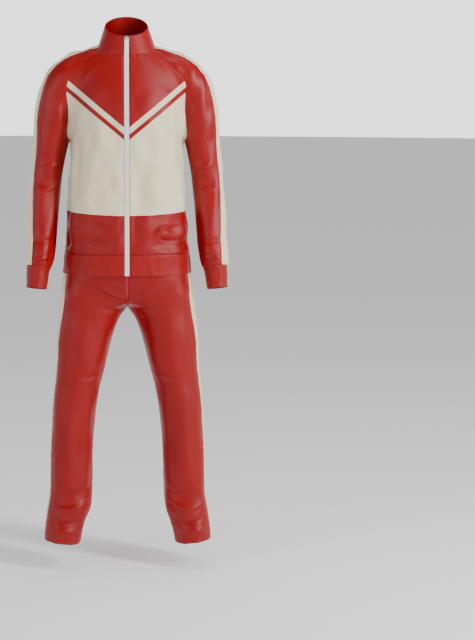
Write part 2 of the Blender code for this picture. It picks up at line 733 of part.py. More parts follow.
def united(name, solids, material, origin=(0.0, 0.0, 0.0)):
    """One object that joins several overlapping solids and turns about the origin given."""
    pieces = [new_object(name, solid, material, origin) for solid in solids]
    whole = pieces[0]
    for piece in pieces[1:]:
        union = whole.modifiers.new("join", "BOOLEAN")
        union.operation = "UNION"
        union.solver = "EXACT"
        union.object = piece
    joined = bpy.data.meshes.new_from_object(whole.evaluated_get(bpy.context.evaluated_depsgraph_get()))
    whole.modifiers.clear()
    whole.data = joined
    whole.name = name
    for piece in pieces[1:]:
        bpy.data.objects.remove(piece)
    return whole


class SliderFrame:
    """Places on the zip's slider: across the zip, out of the cloth, and down along it."""

    def __init__(self, base, down):
        self.base = np.array(base)
        self.down = np.array(down) / np.linalg.norm(down)
        self.out = np.array([0.0, self.down[2], -self.down[1]])

    def at(self, across, out, down):
        """The world point at these distances."""
        return self.base + np.array([across, 0.0, 0.0]) + out * self.out + down * self.down

    def leaning(self, lean, base):
        """A frame at another base whose down leans towards the cloth."""
        return SliderFrame(base, math.cos(lean) * self.down - math.sin(lean) * self.out)


def slider_solids(frame):
    """The slider's front and back plates, the neck that joins them, and its bridge."""
    front = SLIDER_CLEARANCE
    back = -ZIP_WALL - SLIDER_CLEARANCE - SLIDER_PLATE
    plate = rounded(SLIDER_HALF_WIDTH, 0.0, SLIDER_LENGTH, SLIDER_CORNER)
    neck = rounded(SLIDER_NECK_HALF_WIDTH, 0.0, SLIDER_NECK_LENGTH, EYE_CORNER)
    neck_start = back + BRIDGE_ROOT
    neck_rise = front + BRIDGE_ROOT - neck_start
    solids = []
    for start in (front, back):
        solids.append(prism([frame.at(x, start, y) for x, y in plate], SLIDER_PLATE * frame.out))
    solids.append(prism([frame.at(x, neck_start, y + BRIDGE_ROOT) for x, y in neck], neck_rise * frame.out))
    face = front + SLIDER_PLATE
    high, low = BRIDGE_START, BRIDGE_START + BRIDGE_LENGTH
    staple = [
        (high, -BRIDGE_ROOT),
        (high, BRIDGE_HEIGHT),
        (low, BRIDGE_HEIGHT),
        (low, -BRIDGE_ROOT),
        (low - BRIDGE_BAR, -BRIDGE_ROOT),
        (low - BRIDGE_BAR, BRIDGE_HEIGHT - BRIDGE_BAR),
        (high + BRIDGE_BAR, BRIDGE_HEIGHT - BRIDGE_BAR),
        (high + BRIDGE_BAR, -BRIDGE_ROOT),
    ]
    side = [frame.at(-BRIDGE_HALF_WIDTH, face + rise, down) for down, rise in staple]
    solids.append(prism(side, (2 * BRIDGE_HALF_WIDTH, 0.0, 0.0)))
    return solids


def pull_frame(frame):
    """The pull tab's frame, which starts on the line that it swings about."""
    out = SLIDER_CLEARANCE + SLIDER_PLATE + PULL_AXIS_HEIGHT
    down = BRIDGE_START + BRIDGE_LENGTH - BRIDGE_BAR - PULL_AXIS_GAP
    return frame.leaning(PULL_LEAN, frame.at(0.0, out, down))


def pull_solids(frame):
    """The pull tab with its eye, and the round bar across the eye that turns inside the bridge."""
    outline = rounded(PULL_HALF_WIDTH, -PULL_RIM_HALF, PULL_LENGTH, PULL_CORNER)
    eye = rounded(EYE_HALF_WIDTH, PULL_RIM_HALF, EYE_BELOW_AXIS, EYE_CORNER)
    back = -PULL_WALL / 2
    loops = [[frame.at(x, back, y) for x, y in loop] for loop in (outline, eye)]
    turns = spread(0, 2 * math.pi, BAR_SIDES)[:-1]
    bar = [
        frame.at(-PULL_BAR_HALF_LENGTH, PULL_BAR_RADIUS * math.sin(turn), PULL_BAR_RADIUS * math.cos(turn))
        for turn in turns
    ]
    return [pierced_plate(*loops, PULL_WALL * frame.out), prism(bar, (2 * PULL_BAR_HALF_LENGTH, 0.0, 0.0))]


def zip_rows(edge):
    """Base grid of the +X zip tape, from its own line down the middle to the cloth's edge."""
    inner, outer = edge.copy(), edge.copy()
    inner[:, 0] = ZIP_SPLIT
    outer[:, 0] = ZIP_HALF_WIDTH - 2 * SEAM_GAP
    return np.stack([inner, outer], axis=1)


def profile_normals(grid):
    """Directions straight out of a strip that runs down the centre front."""
    run = np.gradient(grid[:, 0], axis=0)
    square = np.stack([np.zeros(len(run)), run[:, 2], -run[:, 1]], axis=1)
    square /= np.linalg.norm(square, axis=1)[:, None]
    return np.repeat(square[:, None, :], grid.shape[1], axis=1)


def finish(name, colour, roughness, metallic=0.0):
    """A plain material."""
    material = bpy.data.materials.new(name)
    material.use_nodes = True
    shader = material.node_tree.nodes["Principled BSDF"]
    shader.inputs["Base Color"].default_value = (*colour, 1.0)
    shader.inputs["Roughness"].default_value = roughness
    shader.inputs["Metallic"].default_value = metallic
    return material


def collar_rows():
    """Base grid of the collar, from the zip on the +X side round the back to the zip again."""
    half = []
    for share in COLLAR_SHARES:
        reach = NECK_REACH + (COLLAR_HALF_WIDTH - NECK_REACH) * share
        degrees = spread(math.degrees(math.asin(ZIP_HALF_WIDTH / reach)), 180.0, COLLAR_COLUMNS)
        angle = np.radians(degrees)
        top = np.stack(
            [
                COLLAR_HALF_WIDTH * np.sin(angle),
                -COLLAR_FORWARD - COLLAR_HALF_DEPTH * np.cos(angle),
                COLLAR_LEVEL - COLLAR_TILT * np.cos(angle),
            ],
            axis=1,
        )
        row = (1 - share) * neck_ring(degrees) + share * top
        row[0, 0] = ZIP_HALF_WIDTH
        half.append(row)
    half = np.array(half)
    return np.concatenate([half, mirrored(half)[:, -2::-1]], axis=1)


def hem_rows():
    """Base grid of the hem band, from the zip on the -X side round the back to the zip on the +X side."""
    half = []
    for level in BAND_LEVELS:
        start = centre_point(level, ZIP_HALF_WIDTH, -1, outside_jacket)
        side = side_seam(level)
        end = centre_point(level, 0.0, 1, outside_jacket)
        front = sweep(start, side, CHEST_COLUMNS, body_middle, outside_jacket)
        back = sweep(side, end, HALF_BACK_COLUMNS, body_middle, outside_jacket)
        half.append(np.concatenate([front, back[1:]]))
    half = np.array(half)
    return np.concatenate([half, mirrored(half)[:, -2::-1]], axis=1)


def waistband_rows(tops):
    """Base grid of the waistband, closed, standing on the top rows of the +X leg's pieces."""
    half = np.concatenate([tops[0], tops[1][1:], tops[2][::-1][1:]])
    ring = np.concatenate([half, mirrored(half)[-2::-1]])
    rows = []
    for level in (WAIST_SEAM, (WAIST_SEAM + WAIST_TOP) / 2, WAIST_TOP):
        angle = np.arctan2(ring[:, 0], -ring[:, 1])
        directions = np.stack([np.sin(angle), -np.cos(angle), np.zeros_like(angle)], axis=1)
        rows.append(cast(np.array([0.0, 0.0, level]), directions, outside_trousers))
    return np.array(rows)


def build():
    """Builds every piece of the suit."""
    for thing in list(bpy.data.objects):
        bpy.data.objects.remove(thing)
    red = finish("red_tricot", (0.45, 0.008, 0.008), 0.42)
    cream = finish("cream_tricot", (0.62, 0.56, 0.42), 0.45)
    band_red = finish("red_band", (0.42, 0.008, 0.008), 0.55)
    tape = finish("zip_tape", (0.75, 0.76, 0.76), 0.40)
    metal = finish("zip_metal", (0.70, 0.71, 0.72), 0.30, 1.0)
    plastic = finish("pull_plastic", (0.80, 0.81, 0.81), 0.35)

    sleeve = sleeve_pieces()
    raglan_rows = YOKE_STEPS + len(RAGLAN_ROWS)
    first_angle = math.degrees(math.asin(ZIP_HALF_WIDTH / NECK_REACH))
    chest_angles = spread(first_angle, NECK_RAGLAN_FRONT, CHEST_COLUMNS)
    chest = body_piece(sleeve[0][:raglan_rows, 0], chest_angles, -1, ZIP_HALF_WIDTH, CHEST_COLUMNS)
    chest[0, 0, 0] = ZIP_HALF_WIDTH
    back_angles = spread(180.0, NECK_RAGLAN_BACK, HALF_BACK_COLUMNS)
    half_back = body_piece(sleeve[2][:raglan_rows, -1], back_angles, 1, 0.0, HALF_BACK_COLUMNS)
    legs = leg_pieces()
    band = hem_rows()
    collar = collar_rows()
    every = ("top", "bottom", "first", "last")

    def lay(name, grid, field, wall, material, edges=every, closed=False):
        """One piece of cloth on a field's surface, with its folds, drawn in at the edges named."""
        grid = folded(drawn_in(grid, edges), field)
        cloth(name, grid, field_normals(grid, field), wall, material, closed)

    for side, turn in (("left", np.array), ("right", mirrored)):
        for kind, grid, material in zip(("front", "stripe", "back"), sleeve, (red, cream, red)):
            lay(f"sleeve_{kind}_{side}", turn(grid), outside_jacket, CLOTH_WALL, material)
        lay(f"cuff_{side}", turn(cuff_rows()), outside_jacket, BAND_WALL, band_red, ("top",), True)
        lay(f"front_{side}", turn(chest), outside_jacket, CLOTH_WALL, cream)
        for kind, grid, material in zip(("front", "stripe", "back"), legs, (red, cream, red)):
            edges = ("top", "first", "last")
            lay(f"leg_{kind}_{side}", turn(grid), outside_trousers, CLOTH_WALL, material, edges)
    back = np.concatenate([mirrored(half_back)[:, :0:-1], half_back], axis=1)
    lay("back", back, outside_jacket, CLOTH_WALL, cream)
    lay("hem_band", band, outside_jacket, BAND_WALL, band_red, ("top", "first", "last"))
    waist = waistband_rows([grid[0] for grid in legs])
    lay("waistband", waist, outside_trousers, BAND_WALL, band_red, ("top",), True)
    cloth("collar", drawn_in(collar, ("top", "first", "last")), grid_normals(collar), BAND_WALL, red)

    line = np.concatenate([collar[:0:-1, 0], chest[:, 0], band[1:, 0]])
    slider = SliderFrame((0.0, *line[0, 1:]), line[1] - line[0])
    united("zip_slider", slider_solids(slider), metal)
    hanger = pull_frame(slider)
    united("zip_pull", pull_solids(hanger), plastic, hanger.base)
    line[0] += (SLIDER_NECK_LENGTH + SLIDER_CLEARANCE + BRIDGE_ROOT) * slider.down
    for side, turn in (("left", np.array), ("right", mirrored)):
        strip = turn(zip_rows(line))
        cloth(f"zip_{side}", strip, profile_normals(strip), ZIP_WALL, tape)


build()
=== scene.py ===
import logging
import math
from collections.abc import Callable, Iterable
from dataclasses import dataclass, field
from enum import Enum
from typing import Any, Union

import bmesh
import bpy
import numpy as np
from mathutils import Matrix, Vector
from mathutils.bvhtree import BVHTree
from mathutils.kdtree import KDTree


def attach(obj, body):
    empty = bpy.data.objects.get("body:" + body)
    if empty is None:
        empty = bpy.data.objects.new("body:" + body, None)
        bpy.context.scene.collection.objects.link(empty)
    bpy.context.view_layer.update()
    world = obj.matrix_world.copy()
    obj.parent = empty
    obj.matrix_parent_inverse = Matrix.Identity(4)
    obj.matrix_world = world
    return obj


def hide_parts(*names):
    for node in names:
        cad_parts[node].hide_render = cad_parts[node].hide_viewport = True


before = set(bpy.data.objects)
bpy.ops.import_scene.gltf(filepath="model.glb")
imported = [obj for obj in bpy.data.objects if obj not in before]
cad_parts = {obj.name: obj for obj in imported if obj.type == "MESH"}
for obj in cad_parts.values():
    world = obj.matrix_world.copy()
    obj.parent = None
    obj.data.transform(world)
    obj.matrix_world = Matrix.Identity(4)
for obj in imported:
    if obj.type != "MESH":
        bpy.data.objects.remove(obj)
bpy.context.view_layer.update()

log = logging.getLogger("tracksuit")

Colour = tuple[float, float, float]
Point2 = tuple[float, float]
Point3 = tuple[float, float, float]
Operand = Union["Value", float, int]
Materials = dict[str, bpy.types.Material]
Choice = Callable[[np.ndarray], np.ndarray]

SUIT, PULL_TAB = "suit", "pull_tab"

# Dye colours, linear
RED: Colour = (0.245, 0.0003, 0.0014)
CREAM: Colour = (0.720, 0.620, 0.430)
WHITE_TAPE: Colour = (0.720, 0.740, 0.760)
WHITE_PLASTIC: Colour = (0.800, 0.810, 0.820)
BRIGHT_METAL: Colour = (0.740, 0.750, 0.770)
FLOOR_WHITE: Colour = (0.860, 0.860, 0.860)

# Levels of seams and print, metres from the top of the shoulders
WAIST_SEAM = -0.506
HEM_SEAM = -0.601
CUFF_SEAM = -0.640
TROUSER_HEM = -1.487
FLOOR_LEVEL = -1.575


# ---------------------------------------------------------------- shader graphs


class Value:
    """One output of a shader graph, on which sums work as on numbers."""

    def __init__(self, graph: "Graph", socket: bpy.types.NodeSocket) -> None:
        """Keeps the graph and the socket."""
        self.graph = graph
        self.socket = socket

    def _sum(self, operation: str, first: Operand, second: Operand = 0.0) -> "Value":
        """Adds one Math node."""
        return self.graph.node("ShaderNodeMath", {"operation": operation}, {0: first, 1: second})

    def __add__(self, other: Operand) -> "Value":
        """self + other."""
        return self._sum("ADD", self, other)

    __radd__ = __add__

    def __sub__(self, other: Operand) -> "Value":
        """self - other."""
        return self._sum("SUBTRACT", self, other)

    def __rsub__(self, other: Operand) -> "Value":
        """other - self."""
        return self._sum("SUBTRACT", other, self)

    def __mul__(self, other: Operand) -> "Value":
        """self * other."""
        return self._sum("MULTIPLY", self, other)

    __rmul__ = __mul__

    def __truediv__(self, other: Operand) -> "Value":
        """self / other."""
        return self._sum("DIVIDE", self, other)

    def __abs__(self) -> "Value":
        """abs(self)."""
        return self._sum("ABSOLUTE", self)

    def sine(self) -> "Value":
        """The sine of self in radians."""
        return self._sum("SINE", self)

    def above(self, other: Operand, softness: float) -> "Value":
        """0 where self is below other, 1 where it is above, softened over the distance given."""
        step = (self - other) / softness + 0.5
        return self.graph.node("ShaderNodeClamp", {}, {"Value": step})

    def most(self, other: Operand) -> "Value":
        """The greater of self and other."""
        return self._sum("MAXIMUM", self, other)


class Graph:
    """The nodes of one material."""

    def __init__(self, name: str) -> None:
        """Starts an empty material.

        Args:
            name: The material's name.
        """
        self.material = bpy.data.materials.new(name)
        self.material.use_nodes = True
        self.tree = self.material.node_tree
        self.tree.nodes.clear()

    def node(
        self, kind: str, settings: dict[str, Any], inputs: dict[Any, Any], output: Any = 0
    ) -> Value:
        """Adds a node, sets it up and feeds its sockets.

        Args:
            kind: The node's type.
            settings: The node's own properties.
            inputs: Values or links for sockets, by name or number.
            output: The output socket to hand back, by name or number.

        Returns:
            The output.
        """
        made = self.tree.nodes.new(kind)
        for name, value in settings.items():
            setattr(made, name, value)
        for name, value in inputs.items():
            socket = made.inputs[name]
            if isinstance(value, Value):
                self.tree.links.new(value.socket, socket)
            elif socket.type == "RGBA" and len(value) == 3:
                socket.default_value = (*value, 1.0)
            else:
                socket.default_value = value
        return Value(self, made.outputs[output])

    def coordinate(self, which: str) -> Value:
        """The Object coordinates, or the UV map's."""
        return self.node("ShaderNodeTexCoord", {}, {}, which)

    def parts(self, vector: Value) -> tuple[Value, Value, Value]:
        """The x, y and z of a vector."""
        split = self.node("ShaderNodeSeparateXYZ", {}, {0: vector})
        outputs = split.socket.node.outputs
        return Value(self, outputs[0]), Value(self, outputs[1]), Value(self, outputs[2])

    def joined(self, x: Operand, y: Operand, z: Operand) -> Value:
        """A vector from three values."""
        return self.node("ShaderNodeCombineXYZ", {}, {0: x, 1: y, 2: z})

    def noise(self, vector: Value, scale: float, detail: float = 3.0, rough: float = 0.5) -> Value:
        """Soft noise from 0 to 1.

        Args:
            vector: Where.
            scale: Lumps in a metre.
            detail: Finer layers.
            rough: How much the finer layers count.

        Returns:
            The noise.
        """
        inputs = {"Vector": vector, "Scale": scale, "Detail": detail, "Roughness": rough}
        return self.node("ShaderNodeTexNoise", {}, inputs)

    def blended(self, first: Any, second: Any, share: Operand) -> Value:
        """A colour between two colours.

        Args:
            first: The colour at share 0.
            second: The colour at share 1.
            share: How far along.

        Returns:
            The colour.
        """
        settings = {"data_type": "RGBA", "blend_type": "MIX"}
        return self.node("ShaderNodeMix", settings, {0: share, 6: first, 7: second}, 2)

    def mottled(self, colour: Colour, shades: Point2, share: Operand) -> Value:
        """A colour that runs between two shades of itself, given as factors."""
        return self.blended(*(shaded(colour, factor) for factor in shades), share)

    def bumped(self, height: Value, depth: float, strength: float = 1.0) -> Value:
        """The normal over a height from 0 to 1 that stands depth metres high."""
        inputs = {"Height": height, "Distance": depth, "Strength": strength}
        return self.node("ShaderNodeBump", {}, inputs)

    def surface(self, constants: dict[str, Any], varying: dict[str, Value]) -> bpy.types.Material:
        """Ends the graph in a Principled surface.

        Args:
            constants: Values that are the same all over.
            varying: Links that change over the surface.

        Returns:
            The finished material.
        """
        shader = self.node("ShaderNodeBsdfPrincipled", {}, {**constants, **varying})
        end = self.tree.nodes.new("ShaderNodeOutputMaterial")
        self.tree.links.new(shader.socket, end.inputs["Surface"])
        return self.material


def shaded(colour: Colour, factor: float) -> Colour:
    """The colour made lighter or darker."""
    return tuple(min(1.0, part * factor) for part in colour)


# ---------------------------------------------------------------- finishes


@dataclass(frozen=True)
class Tricot:
    """Satin warp-knit polyester: fine wales, a soft broad sheen and faint pressed-in unevenness."""

    name: str
    ground: Colour
    roughness: float = 0.36
    wale_pitch: float = 0.0011
    course_pitch: float = 0.0009
    knit_depth: float = 0.00010
    crumple_depth: float = 0.0011

    # Patches of deeper dye: lumps in a metre, finer layers and how much they count
    PATCHES = (7.0, 4.0, 0.6)
    RED_SHADES = (0.90, 1.08)
    CREAM_SHADES = (0.93, 1.05)
    ZIGZAG_TURN = 0.6

    def colour(self, graph: Graph, place: Value) -> Value:
        """The dye, a little deeper in some patches than in others."""
        return graph.mottled(self.ground, self.RED_SHADES, graph.noise(place, *self.PATCHES))

    def material(self) -> bpy.types.Material:
        """Builds the material."""
        graph = Graph(self.name)
        place = graph.coordinate("Object")
        across, along, _ = graph.parts(graph.coordinate("UV"))
        zigzag = abs((along * (math.pi / self.course_pitch)).sine())
        wales = abs(((across * (math.pi / self.wale_pitch)) + zigzag * self.ZIGZAG_TURN).sine())
        knit = wales * 0.7 + zigzag * 0.3
        crumple = graph.noise(place, 26.0, 2.0, 0.45)
        fine = graph.bumped(knit, self.knit_depth, 0.6)
        inputs = {"Height": crumple, "Distance": self.crumple_depth, "Strength": 0.55, "Normal": fine}
        normal = graph.node("ShaderNodeBump", {}, inputs)
        rough = self.roughness - 0.04 + knit * 0.05 + graph.noise(place, 11.0, 2.0) * 0.06
        varying = {"Base Color": self.colour(graph, place), "Roughness": rough, "Normal": normal}
        return graph.surface({"Specular IOR Level": 0.27}, varying)


@dataclass(frozen=True)
class PrintedTricot(Tricot):
    """The jacket's body: cream, with a red yoke and chevron above and a red block below."""

    dye: Colour = RED
    block_level: float = -0.4765
    block_sag: float = 0.0075
    body_half_width: float = 0.175
    yoke_point: float = -0.232
    yoke_slope: float = 0.82
    gap: float = 0.020
    stripe: float = 0.016
    edge: float = 0.0005

    def colour(self, graph: Graph, place: Value) -> Value:
        """Cream and red, parted by even straight edges."""
        x, _, z = graph.parts(place)
        half = abs(x) / self.body_half_width
        block = 1 - z.above(self.block_level - (1 - half * half) * self.block_sag, self.edge)
        rise = z - abs(x) * self.yoke_slope
        yoke = rise.above(self.yoke_point, self.edge)
        low = self.yoke_point - self.gap
        chevron = rise.above(low - self.stripe, self.edge) * (1 - rise.above(low, self.edge))
        red = block.most(yoke).most(chevron)
        patches = graph.noise(place, *self.PATCHES)
        cream = graph.mottled(self.ground, self.CREAM_SHADES, patches)
        return graph.blended(cream, graph.mottled(self.dye, self.RED_SHADES, patches), red)


@dataclass(frozen=True)
class WovenTape:
    """The zip's tape: a close herringbone of polyester yarn."""

    name: str
    ground: Colour = WHITE_TAPE
    pitch: float = 0.0010

    def material(self) -> bpy.types.Material:
        """Builds the material."""
        graph = Graph(self.name)
        x, _, z = graph.parts(graph.coordinate("Object"))
        ridge = abs(((z + abs(x)) * (math.pi / self.pitch)).sine())
        cross = abs((x * (math.pi / self.pitch)).sine())
        weave = ridge * 0.7 + cross * 0.3
        varying = {
            "Base Color": graph.mottled(self.ground, (0.86, 1.04), weave),
            "Roughness": 0.55 + weave * 0.10,
            "Normal": graph.bumped(weave, 0.00012, 0.8),
        }
        return graph.surface({"Sheen Weight": 0.1}, varying)


@dataclass(frozen=True)
class Thread:
    """Sewing thread: twisted filament with a slight shine."""

    name: str
    ground: Colour
    twist_pitch: float = 0.0006

    def material(self) -> bpy.types.Material:
        """Builds the material."""
        graph = Graph(self.name)
        x, y, z = graph.parts(graph.coordinate("Object"))
        twist = ((x + y + z) * (2 * math.pi / self.twist_pitch)).sine() * 0.5 + 0.5
        varying = {
            "Base Color": graph.mottled(self.ground, (0.84, 1.10), twist),
            "Roughness": 0.36 + twist * 0.10,
            "Normal": graph.bumped(twist, 0.00006, 0.7),
        }
        return graph.surface({"Sheen Weight": 0.1}, varying)


@dataclass(frozen=True)
class Moulded:
    """Injection-moulded plastic with a faint flow grain."""

    name: str
    ground: Colour
    roughness: float = 0.32
    grain: float = 900.0

    def material(self) -> bpy.types.Material:
        """Builds the material."""
        graph = Graph(self.name)
        place = graph.coordinate("Object")
        grain = graph.noise(place, self.grain, 2.0)
        flow = graph.noise(place, 90.0, 3.0)
        varying = {
            "Base Color": graph.mottled(self.ground, (0.95, 1.03), flow),
            "Roughness": self.roughness - 0.05 + grain * 0.10,
            "Normal": graph.bumped(grain, 0.00003, 0.5),
        }
        return graph.surface({"Coat Weight": 0.15, "Coat Roughness": 0.2}, varying)


@dataclass(frozen=True)
class CastMetal:
    """Plated zinc, brushed along the zip, worn brighter in patches."""

    name: str
    ground: Colour = BRIGHT_METAL

    def material(self) -> bpy.types.Material:
        """Builds the material."""
        graph = Graph(self.name)
        place = graph.coordinate("Object")
        x, y, z = graph.parts(place)
        brushed = graph.noise(graph.joined(x * 3000.0, y * 3000.0, z * 160.0), 1.0, 2.0)
        worn = graph.noise(place, 420.0, 3.0)
        varying = {
            "Base Color": graph.mottled(self.ground, (0.86, 1.0), worn),
            "Roughness": 0.22 + brushed * 0.10 + worn * 0.08,
            "Normal": graph.bumped(brushed, 0.00002, 0.4),
        }
        return graph.surface({"Metallic": 1.0}, varying)


@dataclass(frozen=True)
class Paper:
    """The studio's floor: matt, and lit a little from itself."""

    name: str
    ground: Colour = FLOOR_WHITE

    def material(self) -> bpy.types.Material:
        """Builds the material."""
        graph = Graph(self.name)
        place = graph.coordinate("Object")
        tone = graph.noise(place, 1.5, 2.0)
        colour = graph.mottled(self.ground, (0.99, 1.0), tone)
        white = (1.0, 1.0, 1.0)
        constants = {"Specular IOR Level": 0.1, "Emission Color": white, "Emission Strength": 0.30}
        return graph.surface(constants, {"Base Color": colour, "Roughness": 0.9 + tone * 0.05})


# ---------------------------------------------------------------- meshes


def linked(name: str, data: Any) -> bpy.types.Object:
    """A new object of the scene around a mesh, a lamp or a camera."""
    thing = bpy.data.objects.new(name, data)
    bpy.context.scene.collection.objects.link(thing)
    return thing


def merged(node: str, distance: float) -> bmesh.types.BMesh:
    """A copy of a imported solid, with the points that lie this close merged."""
    mesh = bmesh.new()
    mesh.from_mesh(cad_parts[node].data)
    bmesh.ops.remove_doubles(mesh, verts=mesh.verts, dist=distance)
    return mesh


def settled(name: str, mesh: bmesh.types.BMesh) -> bpy.types.Mesh:
    """The mesh data of a working mesh, which is freed."""
    data = bpy.data.meshes.new(name)
    mesh.to_mesh(data)
    mesh.free()
    return data


def bevelled(
    mesh: bmesh.types.BMesh, edges: list, radius: float, segments: int = 2, clamp: bool = False
) -> None:
    """Rounds edges of a mesh."""
    bmesh.ops.bevel(
        mesh, geom=edges, offset=radius, segments=segments, profile=0.5, affect="EDGES",
        clamp_overlap=clamp, material=-1,
    )


def rounded(
    node: str, distance: float, flat: float, sharp: float, radius: float, clamp: bool = False
) -> bmesh.types.BMesh:
    """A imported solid, merged, its flats rejoined and its sharp edges rounded.

    Args:
        node: The node.
        distance: How close merged points lie.
        flat: The angle in degrees under which faces become one.
        sharp: The angle in degrees from which an edge is rounded.
        radius: How round the edges get.
        clamp: Whether neighbouring roundings stop where they would meet.

    Returns:
        The working mesh.
    """
    mesh = merged(node, distance)
    bmesh.ops.dissolve_limit(
        mesh, angle_limit=math.radians(flat), verts=mesh.verts, edges=mesh.edges
    )
    edges = [edge for edge in mesh.edges if edge.calc_face_angle(0.0) > math.radians(sharp)]
    bevelled(mesh, edges, radius, clamp=clamp)
    return mesh


# ---------------------------------------------------------------- folds


class Face(Enum):
    """The side of the suit that a fold is seen on."""

    FRONT = -1.0
    BACK = 1.0


class FoldShape(Enum):
    """The section of a fold, as how steep its two sides are."""

    ROUND = (1.0, 1.0)
    ROLLED = (1.0, 0.45)
    TURNED = (0.45, 1.0)


@dataclass(frozen=True)
class Fold:
    """A fold across one face: where it starts, a point that it bends towards and where it ends."""

    face: Face
    path: tuple[Point2, Point2, Point2]
    half_width: float
    rise: float
    shape: FoldShape = FoldShape.ROUND

    STEPS = 12
    ENDS = 0.05
    DEPTH = 1.9
    REACH = 3
    FADE_POWER = 0.7
    # Folds start where the cloth turns this far from the face, and are full after the width
    TURN_START = 0.2
    TURN_WIDTH = 0.6

    def mirrored(self) -> "Fold":
        """The same fold on the wearer's other side."""
        flipped = tuple((-x, z) for x, z in self.path)
        turned = {FoldShape.ROLLED: FoldShape.TURNED, FoldShape.TURNED: FoldShape.ROLLED}
        return Fold(self.face, flipped, self.half_width, self.rise, turned.get(self.shape, self.shape))

    def line(self) -> np.ndarray:
        """Points along the fold."""
        start, bend, end = (np.array(point) for point in self.path)
        share = np.linspace(0, 1, self.STEPS + 1)[:, None]
        return (1 - share) ** 2 * start + 2 * share * (1 - share) * bend + share**2 * end

    def lift(self, points: np.ndarray, facing: np.ndarray) -> np.ndarray:
        """How far the fold lifts the cloth.

        Args:
            points: Places on the cloth.
            facing: The y of the cloth's outward direction at each place.

        Returns:
            The lift at each place, in metres.
        """
        line = self.line()
        reach = self.REACH * self.half_width
        low, high = line.min(0) - reach, line.max(0) + reach
        flat = points[:, (0, 2)]
        facing = facing * self.face.value
        near = np.all((flat > low) & (flat < high), axis=1) & (facing > -self.TURN_START)
        lifted = np.zeros(len(points))
        if not near.any():
            return lifted
        places = flat[near]
        runs = np.diff(line, axis=0)
        offsets = places[:, None, :] - line[None, :-1, :]
        along = np.clip(np.einsum("ijk,jk->ij", offsets, runs) / np.einsum("jk,jk->j", runs, runs), 0, 1)
        gaps = offsets - along[:, :, None] * runs[None, :, :]
        away = np.linalg.norm(gaps, axis=2)
        closest = np.argmin(away, axis=1)
        picked = np.arange(len(closest))
        run, gap = runs[closest], gaps[picked, closest]
        left = run[:, 0] * gap[:, 1] - run[:, 1] * gap[:, 0] > 0
        steep = np.where(left, *self.shape.value)
        place = (closest + along[picked, closest]) / self.STEPS
        fade = np.sin(np.pi * np.clip(place, self.ENDS, 1 - self.ENDS)) ** self.FADE_POWER
        turn = np.clip((facing[near] + self.TURN_START) / self.TURN_WIDTH, 0, 1)
        section = np.exp(-((away[picked, closest] / (self.half_width * steep)) ** 2))
        lifted[near] = self.DEPTH * self.rise * fade * turn * section
        return lifted


@dataclass(frozen=True)
class Drape:
    """Soft uneven waves of hanging cloth, whose crests follow one direction."""

    seed: int
    crests: Point3
    spacing: float
    height: float
    waves: int = 12

    STRAY = 0.28
    SPREAD = (0.65, 1.7)

    def lift(self, points: np.ndarray) -> np.ndarray:
        """How far the waves lift the cloth at each place."""
        random = np.random.default_rng(self.seed)
        crest = np.array(self.crests) / np.linalg.norm(self.crests)
        total = np.zeros(len(points))
        for _ in range(self.waves):
            turn = random.normal(size=3)
            turn -= crest * (turn @ crest)
            turn /= np.linalg.norm(turn)
            turn += crest * random.normal() * self.STRAY
            pitch = self.spacing * random.uniform(*self.SPREAD)
            total += np.sin(points @ turn * (2 * math.pi / pitch) + random.uniform(0, 2 * math.pi))
        return total * self.height / math.sqrt(self.waves / 2)


def fading(distance: np.ndarray, reach: float) -> np.ndarray:
    """1 where the distance is 0 or less, fading out over the reach."""
    return np.exp(-np.clip(distance, 0, None) / reach)


def both_sides(folds: Iterable[Fold]) -> list[Fold]:
    """The folds and their mirror images across the suit's middle."""
    folds = list(folds)
    return folds + [fold.mirrored() for fold in folds]


# ---------------------------------------------------------------- cloth panels


@dataclass(frozen=True)
class Limb:
    """The line that a piece of the suit lies round: the trunk, an arm or a leg."""

    start: Point3
    end: Point3
    radius: float

    # A piece whose middle lies nearer to the line than this share of the radius goes all round
    CENTRED = 0.3

    def flipped(self) -> "Limb":
        """The same limb on the wearer's other side."""
        (x0, y0, z0), (x1, y1, z1) = self.start, self.end
        return Limb((-x0, y0, z0), (-x1, y1, z1), self.radius)

    def frame(self) -> tuple[np.ndarray, np.ndarray]:
        """The line's start and its direction."""
        start = np.array(self.start)
        run = np.array(self.end) - start
        return start, run / np.linalg.norm(run)

    def radial(self, points: np.ndarray) -> np.ndarray:
        """The part of each place's offset that is square to the line."""
        start, run = self.frame()
        offsets = points - start
        return offsets - (offsets @ run)[:, None] * run

    def unrolled(self, points: np.ndarray) -> tuple[np.ndarray, np.ndarray]:
        """Angles round the line, from the middle of the places, and distances along it."""
        start, run = self.frame()
        radial = self.radial(points)
        middle = radial.mean(0)
        if np.linalg.norm(middle) < self.CENTRED * self.radius:
            middle = np.array([0.0, -1.0, 0.0])
        middle -= run * (middle @ run)
        middle /= np.linalg.norm(middle)
        side = np.cross(run, middle)
        return np.arctan2(radial @ side, radial @ middle), (points - start) @ run


TRUNK = Limb((0.0, 0.0, 0.0), (0.0, 0.0, -0.66), 0.15)
SEAT = Limb((0.0, 0.0, -0.46), (0.0, 0.0, -0.75), 0.13)
ARM_LEFT = Limb((0.170, 0.010, -0.100), (0.268, -0.042, -0.690), 0.055)
LEG_LEFT = Limb((0.088, 0.004, -0.500), (0.198, 0.014, -1.490), 0.085)


def point_tree(places: np.ndarray) -> KDTree:
    """A search tree over places."""
    tree = KDTree(len(places))
    for number, place in enumerate(places):
        tree.insert(place, number)
    tree.balance()
    return tree


